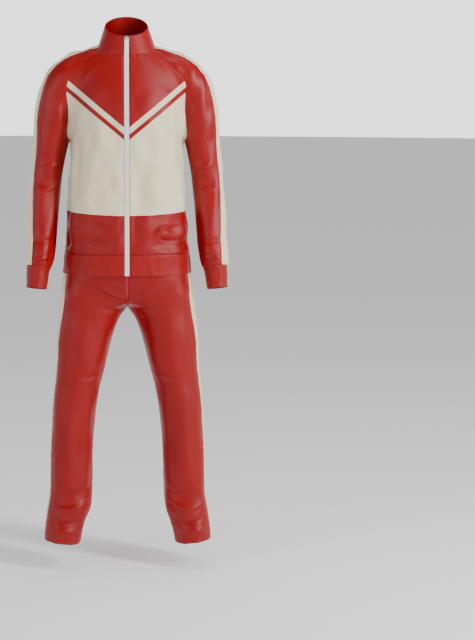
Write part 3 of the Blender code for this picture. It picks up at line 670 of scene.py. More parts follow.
@dataclass
class Panel:
    """One cut piece of cloth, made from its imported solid: both walls smoothed, folded and dressed."""

    node: str
    limb: Limb
    finish: str
    slot: str
    cut: Point2
    area: float
    held: str = "hung"
    levels: int = 3
    rests_on: tuple[str, ...] = ()
    piece: bpy.types.Object = field(init=False, default=None)
    shared: tuple[np.ndarray, np.ndarray] | None = field(init=False, default=None)

    MERGE = 2e-5
    SAME_PLANE = math.radians(50)
    SAME_SHAPE = math.radians(70)
    RIM_ANGLE = math.radians(58)
    SHARP_ANGLE = math.radians(55)
    MARKED = 0.999
    FREE_CREASE = 0.42
    SEAM_REACH = 0.0013
    FIT_ROUNDS = 3
    FIT_SHARE = 0.85
    JOIN_REACH = 0.0016
    JOIN_FADE = 0.016
    JOIN_FACING = -0.3
    CENTRE_REACH = 0.003

    def rough(self, others: KDTree, owners: list[str]) -> None:
        """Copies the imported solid, merges it into quads and marks its walls and rims.

        Args:
            others: Every packed cloth point.
            owners: The node that each of those points belongs to.
        """
        mesh = merged(self.node, self.MERGE)
        bmesh.ops.join_triangles(
            mesh,
            faces=mesh.faces,
            angle_face_threshold=self.SAME_PLANE,
            angle_shape_threshold=self.SAME_SHAPE,
        )
        outer, inner = self._walls(mesh)
        self._mark(mesh, outer, inner, others, owners)
        data = settled(f"{self.node}_cloth", mesh)
        rough = linked(f"{self.node}_rough", data)
        smooth = rough.modifiers.new("smooth", "SUBSURF")
        self._fit_cage(rough, smooth)
        smooth.levels = smooth.render_levels = self.levels
        evaluated = rough.evaluated_get(bpy.context.evaluated_depsgraph_get())
        fine = bpy.data.meshes.new_from_object(evaluated)
        fine.name = f"{self.node}_cloth"
        bpy.data.objects.remove(rough)
        bpy.data.meshes.remove(data)
        self.piece = linked(f"{self.node}_panel", fine)

    def _fit_cage(self, rough: bpy.types.Object, smooth: bpy.types.Modifier) -> None:
        """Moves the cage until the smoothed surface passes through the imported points.

        Args:
            rough: The cage.
            smooth: Its subdivision modifier.
        """
        smooth.levels = smooth.render_levels = 1
        count = len(rough.data.vertices)
        goal = np.empty(count * 3)
        rough.data.vertices.foreach_get("co", goal)
        cage = goal.copy()
        for _ in range(self.FIT_ROUNDS):
            graph = bpy.context.evaluated_depsgraph_get()
            evaluated = rough.evaluated_get(graph)
            reached = np.empty(len(evaluated.data.vertices) * 3)
            evaluated.data.vertices.foreach_get("co", reached)
            cage += self.FIT_SHARE * (goal - reached[: count * 3])
            rough.data.vertices.foreach_set("co", cage)
            rough.data.update()
            rough.update_tag()

    def _walls(self, mesh: bmesh.types.BMesh) -> tuple[set, set]:
        """Finds the faces of the outer and the inner wall, which the rim parts.

        Args:
            mesh: The merged solid.

        Returns:
            The outer wall's faces and the inner wall's.
        """
        left = set(mesh.faces)
        regions = []
        while left:
            grown, todo = set(), [left.pop()]
            while todo:
                face = todo.pop()
                grown.add(face)
                for edge in face.edges:
                    if len(edge.link_faces) == 2 and edge.calc_face_angle(0.0) < self.RIM_ANGLE:
                        for other in edge.link_faces:
                            if other in left:
                                left.remove(other)
                                todo.append(other)
            regions.append(grown)
        regions.sort(key=lambda region: -sum(face.calc_area() for face in region))
        if len(regions) < 3:
            log.warning("%s: only %d regions", self.node, len(regions))
        first, second = regions[:2]
        return (first, second) if self._outness(first) > self._outness(second) else (second, first)

    def _outness(self, region: set) -> float:
        """How much a wall faces away from the limb's line."""
        centres = np.array([face.calc_center_median() for face in region])
        normals = np.array([face.normal for face in region])
        return float(np.sum(self.limb.radial(centres) * normals))

    def _mark(
        self, mesh: bmesh.types.BMesh, outer: set, inner: set, others: KDTree, owners: list[str]
    ) -> None:
        """Stores each point's wall, rim, seam and outward direction, and creases the rims.

        Args:
            mesh: The merged solid.
            outer: The outer wall's faces.
            inner: The inner wall's faces.
            others: Every packed cloth point.
            owners: The node of each of those points.
        """
        floats, vectors = mesh.verts.layers.float, mesh.verts.layers.float_vector
        wall, rim, seam = floats.new("wall"), floats.new("rim"), floats.new("seam")
        out = vectors.new("out")
        crease = mesh.edges.layers.float.new("crease_edge")
        sums = {}
        for region, sign in ((outer, 1.0), (inner, -1.0)):
            for face in region:
                for vertex in face.verts:
                    sums.setdefault(vertex, Vector())
                    sums[vertex] += sign * face.calc_area() * face.normal
                    vertex[wall] = 1.0 if sign > 0 else 0.0
        walls = outer | inner
        for vertex in mesh.verts:
            vertex[out] = sums.get(vertex, vertex.normal).normalized()
            if any(face not in walls for face in vertex.link_faces):
                vertex[rim] = 1.0
                found = others.find_range(vertex.co, self.SEAM_REACH)
                vertex[seam] = float(any(owners[index] != self.node for _, index, _ in found))
        for edge in mesh.edges:
            in_wall = [face in walls for face in edge.link_faces]
            if not all(in_wall):
                sewn = all(vertex[seam] > 0.5 for vertex in edge.verts)
                across = not any(in_wall)
                edge[crease] = 1.0 if sewn or across else self.FREE_CREASE

    def points(self) -> np.ndarray:
        """The places of the panel's points."""
        flat = np.empty(len(self.piece.data.vertices) * 3)
        self.piece.data.vertices.foreach_get("co", flat)
        return flat.reshape(-1, 3)

    def layer(self, name: str) -> np.ndarray:
        """One stored value for each point."""
        stored = self.piece.data.attributes[name]
        data, wide = stored.data, stored.data_type == "FLOAT_VECTOR"
        flat = np.empty(len(data) * (3 if wide else 1), np.float32)
        data.foreach_get("vector" if wide else "value", flat)
        return flat.reshape(-1, 3).astype(float) if wide else flat.astype(float)

    def directions(self) -> np.ndarray:
        """The outward direction at each point."""
        out = self.layer("out")
        return out / (np.linalg.norm(out, axis=1)[:, None] + 1e-9)

    def seam_points(self) -> tuple[np.ndarray, np.ndarray]:
        """The places and outward directions of the sewn edges."""
        sewn = (self.layer("rim") > self.MARKED) & (self.layer("seam") > self.MARKED)
        return self.points()[sewn], self.directions()[sewn]

    def seam_distance(self) -> np.ndarray:
        """How far each point lies from the panel's nearest sewn edge."""
        places = self.points()
        sewn, _ = self.seam_points()
        away = np.full(len(places), 1.0)
        if len(sewn) == 0:
            return away
        tree = point_tree(sewn)
        for number, place in enumerate(places):
            away[number] = tree.find(place)[2]
        return away

    def raise_folds(self, lift: Callable[["Panel", np.ndarray, np.ndarray], np.ndarray]) -> None:
        """Moves both walls out together by the lift at each point.

        Args:
            lift: Works out the lift from the panel, its places and its outward directions.
        """
        places, out = self.points(), self.directions()
        if self.shared is not None:
            spots, shared = self.shared
            tree = point_tree(spots)
            for number, place in enumerate(places):
                _, index, away = tree.find(place)
                share = math.exp(-((away / self.JOIN_FADE) ** 2))
                out[number] += share * (shared[index] - out[number])
        out /= np.maximum(np.linalg.norm(out, axis=1)[:, None], 1.0)
        moved = places + lift(self, places, out)[:, None] * out
        self.piece.data.vertices.foreach_set("co", moved.ravel())
        self.piece.data.update()

    def border(self) -> list[np.ndarray]:
        """The outer wall's edges, as chains of point numbers in order."""
        data = self.piece.data
        marked = (self.layer("rim") > self.MARKED) & (self.layer("wall") > self.MARKED)
        pairs = np.empty(len(data.edges) * 2, np.int64)
        data.edges.foreach_get("vertices", pairs)
        pairs = pairs.reshape(-1, 2)
        pairs = pairs[marked[pairs[:, 0]] & marked[pairs[:, 1]]]
        links: dict[int, list[int]] = {}
        for first, second in pairs.tolist():
            links.setdefault(first, []).append(second)
            links.setdefault(second, []).append(first)
        chains, seen = [], set()
        for start in links:
            if start in seen:
                continue
            chain, here = [start], start
            seen.add(start)
            while True:
                after = [other for other in links[here] if other not in seen]
                if not after:
                    break
                here = after[0]
                seen.add(here)
                chain.append(here)
            chains.append(np.array(chain))
        return chains

    def dress(self, materials: Materials) -> None:
        data = self.piece.data
        angle, along = self.limb.unrolled(self.points())
        corners = np.empty(len(data.loops), np.int64)
        data.loops.foreach_get("vertex_index", corners)
        turn = angle[corners].reshape(-1, 4)
        wraps = turn.max(1) - turn.min(1) > math.pi
        turn[wraps] = np.where(turn[wraps] < 0, turn[wraps] + 2 * math.pi, turn[wraps])
        flat = np.stack([turn.ravel() * self.limb.radius, along[corners]], axis=1)
        cloth_map = data.uv_layers.new(name="cloth")
        cloth_map.data.foreach_set("uv", flat.astype(np.float32).ravel())
        for name in ("wall", "rim", "seam", "out"):
            data.attributes.remove(data.attributes[name])
        data.materials.clear()
        data.materials.append(materials[self.finish])
        data.shade_smooth()
        data.set_sharp_from_angle(angle=self.SHARP_ANGLE)
        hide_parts(self.node)
        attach(self.piece, SUIT)
        log.info("%s: %d faces", self.piece.name, len(data.polygons))

    def declare(self) -> None:
        """Does nothing: the panel and its cut are not stated anywhere."""


# ---------------------------------------------------------------- sewing


@dataclass
class Sewing:
    """Rows of stitches that follow the panels' edges."""

    name: str
    finish: str
    slot: str
    stitch: float = 0.0026
    gap: float = 0.0011
    thickness: float = 0.00032
    lift: float = 0.25
    shortest_run: int = 4
    mesh: bmesh.types.BMesh = field(init=False, default_factory=bmesh.new)
    count: int = field(init=False, default=0)

    def one_stitch(self) -> bpy.types.Mesh:
        """A short fat thread, pointed at both ends, along +X and lying on the cloth."""
        made = bmesh.new()
        bmesh.ops.create_cube(made, size=1.0)
        lengthwise = [e for e in made.edges if abs((e.verts[0].co - e.verts[1].co).x) > 0.5]
        bmesh.ops.subdivide_edges(made, edges=lengthwise, cuts=2)
        for vertex in made.verts:
            thick = 1.0 if abs(vertex.co.x) < 0.4 else 0.45
            vertex.co.y *= thick
            vertex.co.z *= thick
        size = (self.stitch, 2 * self.thickness, 2 * self.thickness)
        bmesh.ops.scale(made, verts=made.verts, vec=size)
        return settled("stitch", made)

    def row(self, path: np.ndarray, normals: np.ndarray) -> None:
        """Sews one row.

        Args:
            path: Places on the cloth, in order.
            normals: The cloth's outward direction at each place.
        """
        steps = np.linalg.norm(np.diff(path, axis=0), axis=1)
        reach = np.concatenate([[0], np.cumsum(steps)])
        pitch = self.stitch + self.gap
        middles = np.arange(pitch / 2, reach[-1], pitch)
        if len(middles) == 0:
            return
        base = self.one_stitch()
        for middle in middles:
            start, end = (self.at(path, reach, middle + side * self.stitch / 2) for side in (-1, 1))
            run = end - start
            if np.linalg.norm(run) < 1e-6:
                continue
            up = self.at(normals, reach, middle)
            along = Vector(run).normalized()
            across = Vector(up).cross(along).normalized()
            out = along.cross(across)
            turn = Matrix((along, across, out)).transposed().to_4x4()
            place = Vector((start + end) / 2) + self.lift * self.thickness * out
            copy = base.copy()
            copy.transform(Matrix.Translation(place) @ turn)
            self.mesh.from_mesh(copy)
            bpy.data.meshes.remove(copy)
            self.count += 1
        bpy.data.meshes.remove(base)

    @staticmethod
    def at(values: np.ndarray, reach: np.ndarray, where: float) -> np.ndarray:
        """The path's value at a distance along it."""
        return np.array([np.interp(where, reach, values[:, axis]) for axis in range(3)])

    def along_edge(self, panel: Panel, wanted: Choice, inset: float) -> None:
        """Sews a row beside the part of a panel's edge that is wanted.

        Args:
            panel: The panel.
            wanted: Says which places of the edge are wanted.
            inset: The distance from the edge.
        """
        places = panel.points()
        faces = [tuple(face.vertices) for face in panel.piece.data.polygons]
        tree = BVHTree.FromPolygons([tuple(place) for place in places], faces)
        for chain in panel.border():
            for run in self._runs(places[chain], wanted(places[chain])):
                if len(run) > self.shortest_run:
                    self._inset_row(panel, tree, run, inset)

    def _inset_row(self, panel: Panel, tree: BVHTree, run: np.ndarray, inset: float) -> None:
        """Moves an edge's run inwards over the cloth and sews it.

        Args:
            panel: The panel.
            tree: The panel's faces.
            run: Places along the edge.
            inset: The distance to move.
        """
        ahead = np.gradient(run, axis=0)
        path, normals = [], []
        for place, step in zip(run, ahead):
            radial = Vector(panel.limb.radial(place[None, :])[0]).normalized()
            inwards = Vector(step).cross(radial).normalized()
            best = None
            for side in (1.0, -1.0):
                spot, normal, _, gap = tree.find_nearest(Vector(place) + side * inset * inwards)
                if best is None or gap < best[2]:
                    best = (spot, normal, gap)
            path.append(best[0])
            normals.append(best[1] if best[1].dot(radial) > 0 else radial)
        self.row(np.array(path), np.array(normals))

    @staticmethod
    def _runs(places: np.ndarray, wanted: np.ndarray) -> list[np.ndarray]:
        """The unbroken wanted stretches of a closed chain."""
        if wanted.all():
            return [np.concatenate([places, places[:1]])]
        first = int(np.argmin(wanted))
        places, wanted = np.roll(places, -first, axis=0), np.roll(wanted, -first)
        runs, current = [], []
        for place, good in zip(places, wanted):
            if good:
                current.append(place)
            elif current:
                runs.append(np.array(current))
                current = []
        if current:
            runs.append(np.array(current))
        return runs

    def finish_up(self, materials: Materials) -> bpy.types.Object:
        """Makes the rows one piece that rides on the suit."""
        data = settled(self.name, self.mesh)
        data.materials.append(materials[self.finish])
        data.shade_smooth()
        piece = linked(self.name, data)
        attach(piece, SUIT)
        log.info("%s: %d stitches, %d faces", self.name, self.count, len(data.polygons))
        return piece


# ---------------------------------------------------------------- jacket and trousers


def share_directions(panels: list[Panel]) -> None:
    """Gives neighbouring panels one outward direction along the seam between them.

    Args:
        panels: Every panel of the suit, before its folds are raised.
    """
    found = [panel.seam_points() for panel in panels]
    spots = np.concatenate([places for places, _ in found])
    outs = np.concatenate([directions for _, directions in found])
    tree = point_tree(spots)
    for panel, (places, directions) in zip(panels, found):
        if len(places) == 0:
            continue
        shared = np.empty_like(directions)
        for number, place in enumerate(places):
            near = [index for _, index, _ in tree.find_range(place, Panel.JOIN_REACH)]
            facing = [outs[index] for index in near if outs[index] @ directions[number] > Panel.JOIN_FACING]
            shared[number] = np.mean(facing, axis=0)
        shared[np.abs(places[:, 0]) < Panel.CENTRE_REACH, 0] = 0.0
        panel.shared = (places, shared)


@dataclass
class Garment:
    """A sewn garment: its panels and the folds that run across them."""

    panels: list[Panel] = field(default_factory=list)
    folds: list[Fold] = field(default_factory=list)
    seam_dip: float = 0.0013
    seam_width: float = 0.0030
    pucker: Drape = Drape(11, (0.0, 0.0, 1.0), 0.013, 0.00030, 16)
    pucker_width: float = 0.012
    still_width: float = 0.012

    def add(
        self, node: str, limb: Limb, finish: str, slot: str, cut: Point2, area: float, **more: Any
    ) -> None:
        """Adds one panel."""
        self.panels.append(Panel(node, limb, finish, slot, cut, area, **more))

    def drape(self, panel: Panel, places: np.ndarray) -> np.ndarray:
        """The soft waves of a panel."""
        return np.zeros(len(places))

    def lift(self, panel: Panel, places: np.ndarray, out: np.ndarray) -> np.ndarray:
        """The lift of folds, waves and seams at each place of a panel.

        Args:
            panel: The panel.
            places: Its places.
            out: Its outward directions.

        Returns:
            The lifts.
        """
        away = panel.seam_distance()
        total = self.drape(panel, places) * (1 - np.exp(-((away / self.still_width) ** 2)))
        for fold in self.folds:
            total += fold.lift(places, out[:, 1])
        total += self.pucker.lift(places) * np.exp(-away / self.pucker_width)
        return total - self.seam_dip * np.exp(-((away / self.seam_width) ** 2))

    def make(self, tree: KDTree, owners: list[str]) -> None:
        """Builds every panel.

        Args:
            tree: Every packed cloth point.
            owners: The node of each of those points.
        """
        for panel in self.panels:
            panel.rough(tree, owners)

    def hang(self) -> None:
        """Raises the folds of every panel."""
        for panel in self.panels:
            panel.raise_folds(self.lift)

    def dress(self, materials: Materials) -> None:
        """Dresses every panel, then calls its declare, which does nothing."""
        for panel in self.panels:
            panel.dress(materials)
            panel.declare()

    def panel(self, node: str) -> Panel:
        """The panel made from a node."""
        return next(panel for panel in self.panels if panel.node == node)


JACKET_FOLDS = both_sides([
    Fold(Face.FRONT, ((0.205, -0.150), (0.188, -0.215), (0.196, -0.290)), 0.010, 0.0022),
    Fold(Face.FRONT, ((0.198, -0.340), (0.226, -0.352), (0.252, -0.338)), 0.008, 0.0020, FoldShape.ROLLED),
    Fold(Face.FRONT, ((0.204, -0.395), (0.236, -0.424), (0.266, -0.412)), 0.009, 0.0024, FoldShape.ROLLED),
    Fold(Face.FRONT, ((0.214, -0.560), (0.250, -0.572), (0.284, -0.556)), 0.008, -0.0020),
    Fold(Face.FRONT, ((0.224, -0.612), (0.255, -0.622), (0.290, -0.612)), 0.007, 0.0020, FoldShape.ROLLED),
    Fold(Face.BACK, ((0.200, -0.330), (0.230, -0.352), (0.262, -0.336)), 0.009, 0.0024, FoldShape.ROLLED),
    Fold(Face.BACK, ((0.204, -0.392), (0.238, -0.414), (0.270, -0.392)), 0.009, 0.0022, FoldShape.TURNED),
    Fold(Face.BACK, ((0.220, -0.606), (0.255, -0.620), (0.292, -0.606)), 0.008, -0.0020),
    Fold(Face.BACK, ((0.150, -0.105), (0.158, -0.165), (0.150, -0.230)), 0.012, 0.0026),
    Fold(Face.FRONT, ((0.070, -0.035), (0.110, -0.060), (0.150, -0.120)), 0.010, 0.0012),
]) + [
    Fold(Face.FRONT, ((0.156, -0.512), (0.086, -0.518), (0.090, -0.548)), 0.008, 0.0030, FoldShape.TURNED),
    Fold(Face.FRONT, ((0.090, -0.546), (0.112, -0.572), (0.158, -0.558)), 0.008, -0.0026, FoldShape.ROLLED),
    Fold(Face.FRONT, ((-0.075, -0.225), (-0.100, -0.330), (-0.112, -0.450)), 0.016, 0.0022),
    Fold(Face.FRONT, ((-0.030, -0.260), (-0.044, -0.350), (-0.050, -0.450)), 0.018, -0.0018),
    Fold(Face.FRONT, ((-0.130, -0.260), (-0.146, -0.340), (-0.150, -0.440)), 0.012, -0.0022),
    Fold(Face.FRONT, ((0.100, -0.290), (0.134, -0.380), (0.160, -0.480)), 0.009, -0.0020),
    Fold(Face.FRONT, ((-0.060, -0.514), (-0.106, -0.518), (-0.156, -0.504)), 0.010, 0.0016),
    Fold(Face.BACK, ((0.096, -0.180), (0.104, -0.300), (0.120, -0.440)), 0.018, 0.0022),
    Fold(Face.BACK, ((0.020, -0.200), (0.012, -0.320), (0.010, -0.450)), 0.020, -0.0020),
    Fold(Face.BACK, ((-0.080, -0.220), (-0.096, -0.320), (-0.110, -0.440)), 0.016, 0.0020),
    Fold(Face.BACK, ((-0.052, -0.522), (-0.110, -0.520), (-0.172, -0.478)), 0.008, 0.0030, FoldShape.ROLLED),
    Fold(Face.BACK, ((0.060, -0.545), (0.120, -0.530), (0.176, -0.495)), 0.008, -0.0024),
    Fold(Face.BACK, ((-0.120, -0.586), (-0.020, -0.600), (0.100, -0.590)), 0.007, 0.0014),
]


@dataclass
class Jacket(Garment):
    """The jacket: fronts, back, raglan sleeves with their stripes, cuffs, hem band and collar."""

    folds: list[Fold] = field(default_factory=lambda: list(JACKET_FOLDS))
    body_waves: Drape = Drape(3, (0.0, 0.0, 1.0), 0.075, 0.0027)
    sleeve_waves: Drape = Drape(5, (0.35, 0.1, 1.0), 0.060, 0.0013)
    band_gathers: Drape = Drape(7, (0.0, 0.0, 1.0), 0.034, 0.00055)
    cuff_gathers: Drape = Drape(9, (0.0, 0.0, 1.0), 0.022, 0.00035)
    gather_reach: float = 0.030
    cuff_gathering: float = 2.2
    collar_gathering: float = 0.4
    body_free: Point2 = (-0.10, 0.10)

    def __post_init__(self) -> None:
        """Lists the pieces with their cuts."""
        body, trim = ("printed_tricot", "cream_tricot"), ("red_band", "red_band")
        red, cream = ("red_tricot", "red_tricot"), ("cream_tricot", "cream_tricot")
        self.add("back", TRUNK, *body, (0.500, 0.655), 0.262, rests_on=("collar_panel",))
        for side, limb in (("left", ARM_LEFT), ("right", ARM_LEFT.flipped())):
            self.add(f"front_{side}", TRUNK, *body, (0.250, 0.610), 0.128)
            self.add(f"sleeve_front_{side}", limb, *red, (0.190, 0.670), 0.071)
            self.add(f"sleeve_stripe_{side}", limb, *cream, (0.085, 0.720), 0.054, levels=2)
            self.add(f"sleeve_back_{side}", limb, *red, (0.200, 0.690), 0.075)
            self.add(f"cuff_{side}", limb, *trim, (0.205, 0.070), 0.0142, held="stretched")
        self.add("hem_band", TRUNK, *trim, (1.070, 0.062), 0.0655, held="stretched")
        self.add("collar", TRUNK, "red_collar", "red_tricot", (0.440, 0.070), 0.0290, held="folded")

    def drape(self, panel: Panel, places: np.ndarray) -> np.ndarray:
        """The soft waves of a panel, and gathers where it meets an elastic band."""
        if panel.node == "hem_band":
            return self.band_gathers.lift(places)
        if panel.node.startswith("cuff"):
            return self.cuff_gathers.lift(places)
        if panel.node == "collar":
            return self.collar_gathering * self.band_gathers.lift(places)
        if panel.node.startswith("sleeve"):
            near_cuff = self.cuff_gathering * fading(places[:, 2] - CUFF_SEAM, self.gather_reach)
            return self.sleeve_waves.lift(places) + near_cuff * self.cuff_gathers.lift(places)
        near_band = fading(places[:, 2] - HEM_SEAM, self.gather_reach)
        level, depth = self.body_free
        free = np.clip((level - places[:, 2]) / depth, 0, 1)
        return self.body_waves.lift(places) * free + near_band * self.band_gathers.lift(places)


TROUSER_FOLDS = both_sides([
    Fold(Face.FRONT, ((0.010, -0.735), (0.050, -0.722), (0.090, -0.690)), 0.009, 0.0026, FoldShape.ROLLED),
    Fold(Face.FRONT, ((0.014, -0.765), (0.056, -0.774), (0.104, -0.760)), 0.009, -0.0024),
    Fold(Face.FRONT, ((0.120, -0.740), (0.130, -0.880), (0.150, -0.990)), 0.018, 0.0020),
    Fold(Face.FRONT, ((0.165, -1.020), (0.178, -1.160), (0.180, -1.300)), 0.016, 0.0026),
    Fold(Face.FRONT, ((0.128, -1.040), (0.134, -1.160), (0.140, -1.290)), 0.014, -0.0020),
    Fold(Face.FRONT, ((0.085, -0.958), (0.110, -0.985), (0.140, -0.975)), 0.009, -0.0026, FoldShape.ROLLED),
    Fold(Face.FRONT, ((0.118, -1.352), (0.168, -1.402), (0.222, -1.372)), 0.009, 0.0034, FoldShape.ROLLED),
    Fold(Face.FRONT, ((0.132, -1.405), (0.182, -1.444), (0.236, -1.404)), 0.008, -0.0030, FoldShape.TURNED),
    Fold(Face.FRONT, ((0.140, -1.440), (0.190, -1.462), (0.236, -1.440)), 0.007, 0.0022),
    Fold(Face.FRONT, ((0.116, -1.315), (0.150, -1.350), (0.205, -1.338)), 0.010, -0.0024),
    Fold(Face.BACK, ((0.060, -0.800), (0.120, -0.815), (0.180, -0.782)), 0.012, -0.0022),
    Fold(Face.BACK, ((0.070, -0.985), (0.120, -1.000), (0.190, -1.050)), 0.010, 0.0036, FoldShape.ROLLED),
    Fold(Face.BACK, ((0.084, -1.040), (0.136, -1.046), (0.196, -1.092)), 0.009, -0.0032, FoldShape.TURNED),
    Fold(Face.BACK, ((0.095, -1.120), (0.150, -1.110), (0.210, -1.145)), 0.010, 0.0024, FoldShape.ROLLED),
    Fold(Face.BACK, ((0.120, -1.370), (0.176, -1.410), (0.234, -1.374)), 0.009, 0.0032, FoldShape.ROLLED),
    Fold(Face.BACK, ((0.130, -1.415), (0.184, -1.445), (0.238, -1.418)), 0.008, -0.0026),
    Fold(Face.BACK, ((0.170, -1.120), (0.176, -1.230), (0.182, -1.330)), 0.016, 0.0022),
])


@dataclass
class Trousers(Garment):
    """The trousers: leg fronts and backs, side stripes and the elastic waistband."""

    folds: list[Fold] = field(default_factory=lambda: list(TROUSER_FOLDS))
    leg_waves: Drape = Drape(13, (0.11, 0.0, -1.0), 0.090, 0.0016)
    waist_gathers: Drape = Drape(17, (0.0, 0.0, 1.0), 0.020, 0.0006)
    gather_reach: float = 0.035
    clear_level: float = -0.675
    clear_depth: float = 0.06
    waist_gathering: float = 0.5

    def __post_init__(self) -> None:
        """Lists the pieces with their cuts."""
        red, cream = ("red_tricot", "red_tricot"), ("cream_tricot", "cream_tricot")
        for side, limb in (("left", LEG_LEFT), ("right", LEG_LEFT.flipped())):
            self.add(f"leg_front_{side}", limb, *red, (0.300, 0.990), 0.210)
            self.add(f"leg_stripe_{side}", limb, *cream, (0.090, 0.985), 0.069, levels=2)
            self.add(f"leg_back_{side}", limb, *red, (0.310, 0.990), 0.216)
        self.add("waistband", SEAT, "red_band", "red_band", (0.920, 0.040), 0.0355, held="stretched")

    def drape(self, panel: Panel, places: np.ndarray) -> np.ndarray:
        """The soft waves of a panel, flat under the jacket's band and gathered at the waist."""
        if panel.node == "waistband":
            return self.waist_gathering * self.waist_gathers.lift(places)
        free = np.clip((self.clear_level - places[:, 2]) / self.clear_depth, 0, 1)
        near_waist = fading(WAIST_SEAM - places[:, 2], self.gather_reach)
        return self.leg_waves.lift(places) * free + near_waist * self.waist_gathers.lift(places)


# ---------------------------------------------------------------- zip


@dataclass
class ZipFastener:
    """The zip: two woven tapes, moulded teeth, the slider and its pull tab."""

    tooth_pitch: float = 0.0031
    tooth_width: float = 0.0036
    tooth_length: float = 0.0019
    tooth_height: float = 0.0011
    tooth_round: float = 0.00016
    head_reach: float = 0.0009
    grip: float = 0.0005
    stand: float = 0.00035
    sink: float = 0.0002
    row_starts: Point2 = (2.0, 2.5)
    row_end: float = 0.004
    edge_reach: float = 0.0004
    line: np.ndarray = field(init=False, default=None)
    out: np.ndarray = field(init=False, default=None)

    def read_line(self) -> None:
        """Finds the line down the middle of the zip from the left tape's inner edge."""
        mesh = merged("zip_left", Panel.MERGE)
        reach = min(vertex.co.x for vertex in mesh.verts) + self.edge_reach
        edge = sorted((v.co.copy() for v in mesh.verts if v.co.x < reach), key=lambda co: -co.z)
        mesh.free()
        places = np.array([(co.y, co.z) for co in edge])
        pairs = places[: len(places) // 2 * 2].reshape(-1, 2, 2)
        front = np.array([pair[np.argmin(pair[:, 0])] for pair in pairs])
        self.line = np.stack([np.zeros(len(front)), front[:, 0], front[:, 1]], axis=1)
        run = np.gradient(self.line, axis=0)
        out = np.stack([np.zeros(len(run)), run[:, 2], -run[:, 1]], axis=1)
        self.out = out / np.linalg.norm(out, axis=1)[:, None]

    def tape(self, side: str, materials: Materials) -> None:
        """Dresses one tape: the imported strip, merged, rounded along its edges."""
        node = f"zip_{side}"
        mesh = rounded(node, Panel.MERGE, 0.5, 60, 0.00035)
        self.place(mesh, f"zip_tape_{side}", node, "zip_tape", "zip_tape", SUIT, materials)

    def place(
        self,
        mesh: bmesh.types.BMesh,
        name: str,
        node: str,
        finish: str,
        slot: str,
        body: str,
        materials: Materials,
    ) -> bpy.types.Object:
        """Turns a mesh into a finished piece.

        Args:
            mesh: The mesh, which is freed.
            name: The piece's name.
            node: The node it stands for, or "" for none.
            finish: The material's name.
            slot: Not used.
            body: The body it rides on.
            materials: The finishes.

        Returns:
            The piece.
        """
        data = settled(name, mesh)
        data.materials.append(materials[finish])
        data.shade_smooth()
        data.set_sharp_from_angle(angle=math.radians(40))
        piece = linked(name, data)
        if node:
            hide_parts(node)
        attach(piece, body)
        log.info("%s: %d faces", name, len(data.polygons))
        return piece

    def one_tooth(self, side: float) -> bpy.types.Mesh:
        """A moulded tooth: a block that grips the tape, with a rounded head past the middle."""
        made = bmesh.new()
        bmesh.ops.create_cube(made, size=1.0)
        body = (self.tooth_width, self.tooth_length * 0.62, self.tooth_height)
        bmesh.ops.scale(made, verts=made.verts, vec=body)
        head = [face for face in made.faces if face.normal.x * side < -0.5]
        grown = bmesh.ops.extrude_face_region(made, geom=head)
        fresh = [item for item in grown["geom"] if isinstance(item, bmesh.types.BMVert)]
        bmesh.ops.translate(made, verts=fresh, vec=(-self.head_reach * side, 0.0, 0.0))
        bmesh.ops.scale(made, verts=fresh, vec=(1.0, 1.5, 0.9))
        bmesh.ops.delete(made, geom=head, context="FACES_ONLY")
        bevelled(made, made.edges[:], self.tooth_round, segments=1)
        aside = side * (self.tooth_width / 2 + self.grip)
        bmesh.ops.translate(made, verts=made.verts, vec=(aside, 0.0, 0.0))
        return settled("tooth", made)

    def teeth(self, materials: Materials) -> None:
        """Sets both rows of teeth along the zip's line, one row half a pitch below the other."""
        steps = np.linalg.norm(np.diff(self.line, axis=0), axis=1)
        reach = np.concatenate([[0], np.cumsum(steps)])
        rows = bmesh.new()
        for side, start in zip((1.0, -1.0), self.row_starts):
            base = self.one_tooth(side)
            end = reach[-1] - self.row_end
            for where in np.arange(self.tooth_pitch * start, end, self.tooth_pitch):
                spot = Sewing.at(self.line, reach, where)
                out = Vector(Sewing.at(self.out, reach, where)).normalized()
                down = Vector((0.0, out.z, -out.y))
                turn = Matrix((Vector((1.0, 0.0, 0.0)), -down, out)).transposed().to_4x4()
                rise = self.stand - self.tooth_height / 2 + self.sink
                place = Matrix.Translation(Vector(spot) + rise * out) @ turn
                copy = base.copy()
                copy.transform(place)
                rows.from_mesh(copy)
                bpy.data.meshes.remove(copy)
            bpy.data.meshes.remove(base)
        self.place(rows, "zip_teeth", "", "zip_teeth", "zip_tape", SUIT, materials)

    def rigid(
        self, node: str, name: str, look: str, body: str, radius: float, materials: Materials
    ) -> None:
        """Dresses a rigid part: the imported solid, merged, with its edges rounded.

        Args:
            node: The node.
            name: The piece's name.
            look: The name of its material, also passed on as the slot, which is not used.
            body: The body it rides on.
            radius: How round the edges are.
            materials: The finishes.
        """
        mesh = rounded(node, 5e-6, 1.0, 35, radius, clamp=True)
        bmesh.ops.triangulate(mesh, faces=mesh.faces)
        self.place(mesh, name, node, look, look, body, materials)

    def build(self, materials: Materials) -> None:
        """Builds the whole zip."""
        self.read_line()
        for side in ("left", "right"):
            self.tape(side, materials)
        self.teeth(materials)
        self.rigid("zip_slider", "slider", "zip_metal", SUIT, 0.00022, materials)
        self.rigid("zip_pull", "pull", "pull_plastic", PULL_TAB, 0.00028, materials)


# ---------------------------------------------------------------- studio


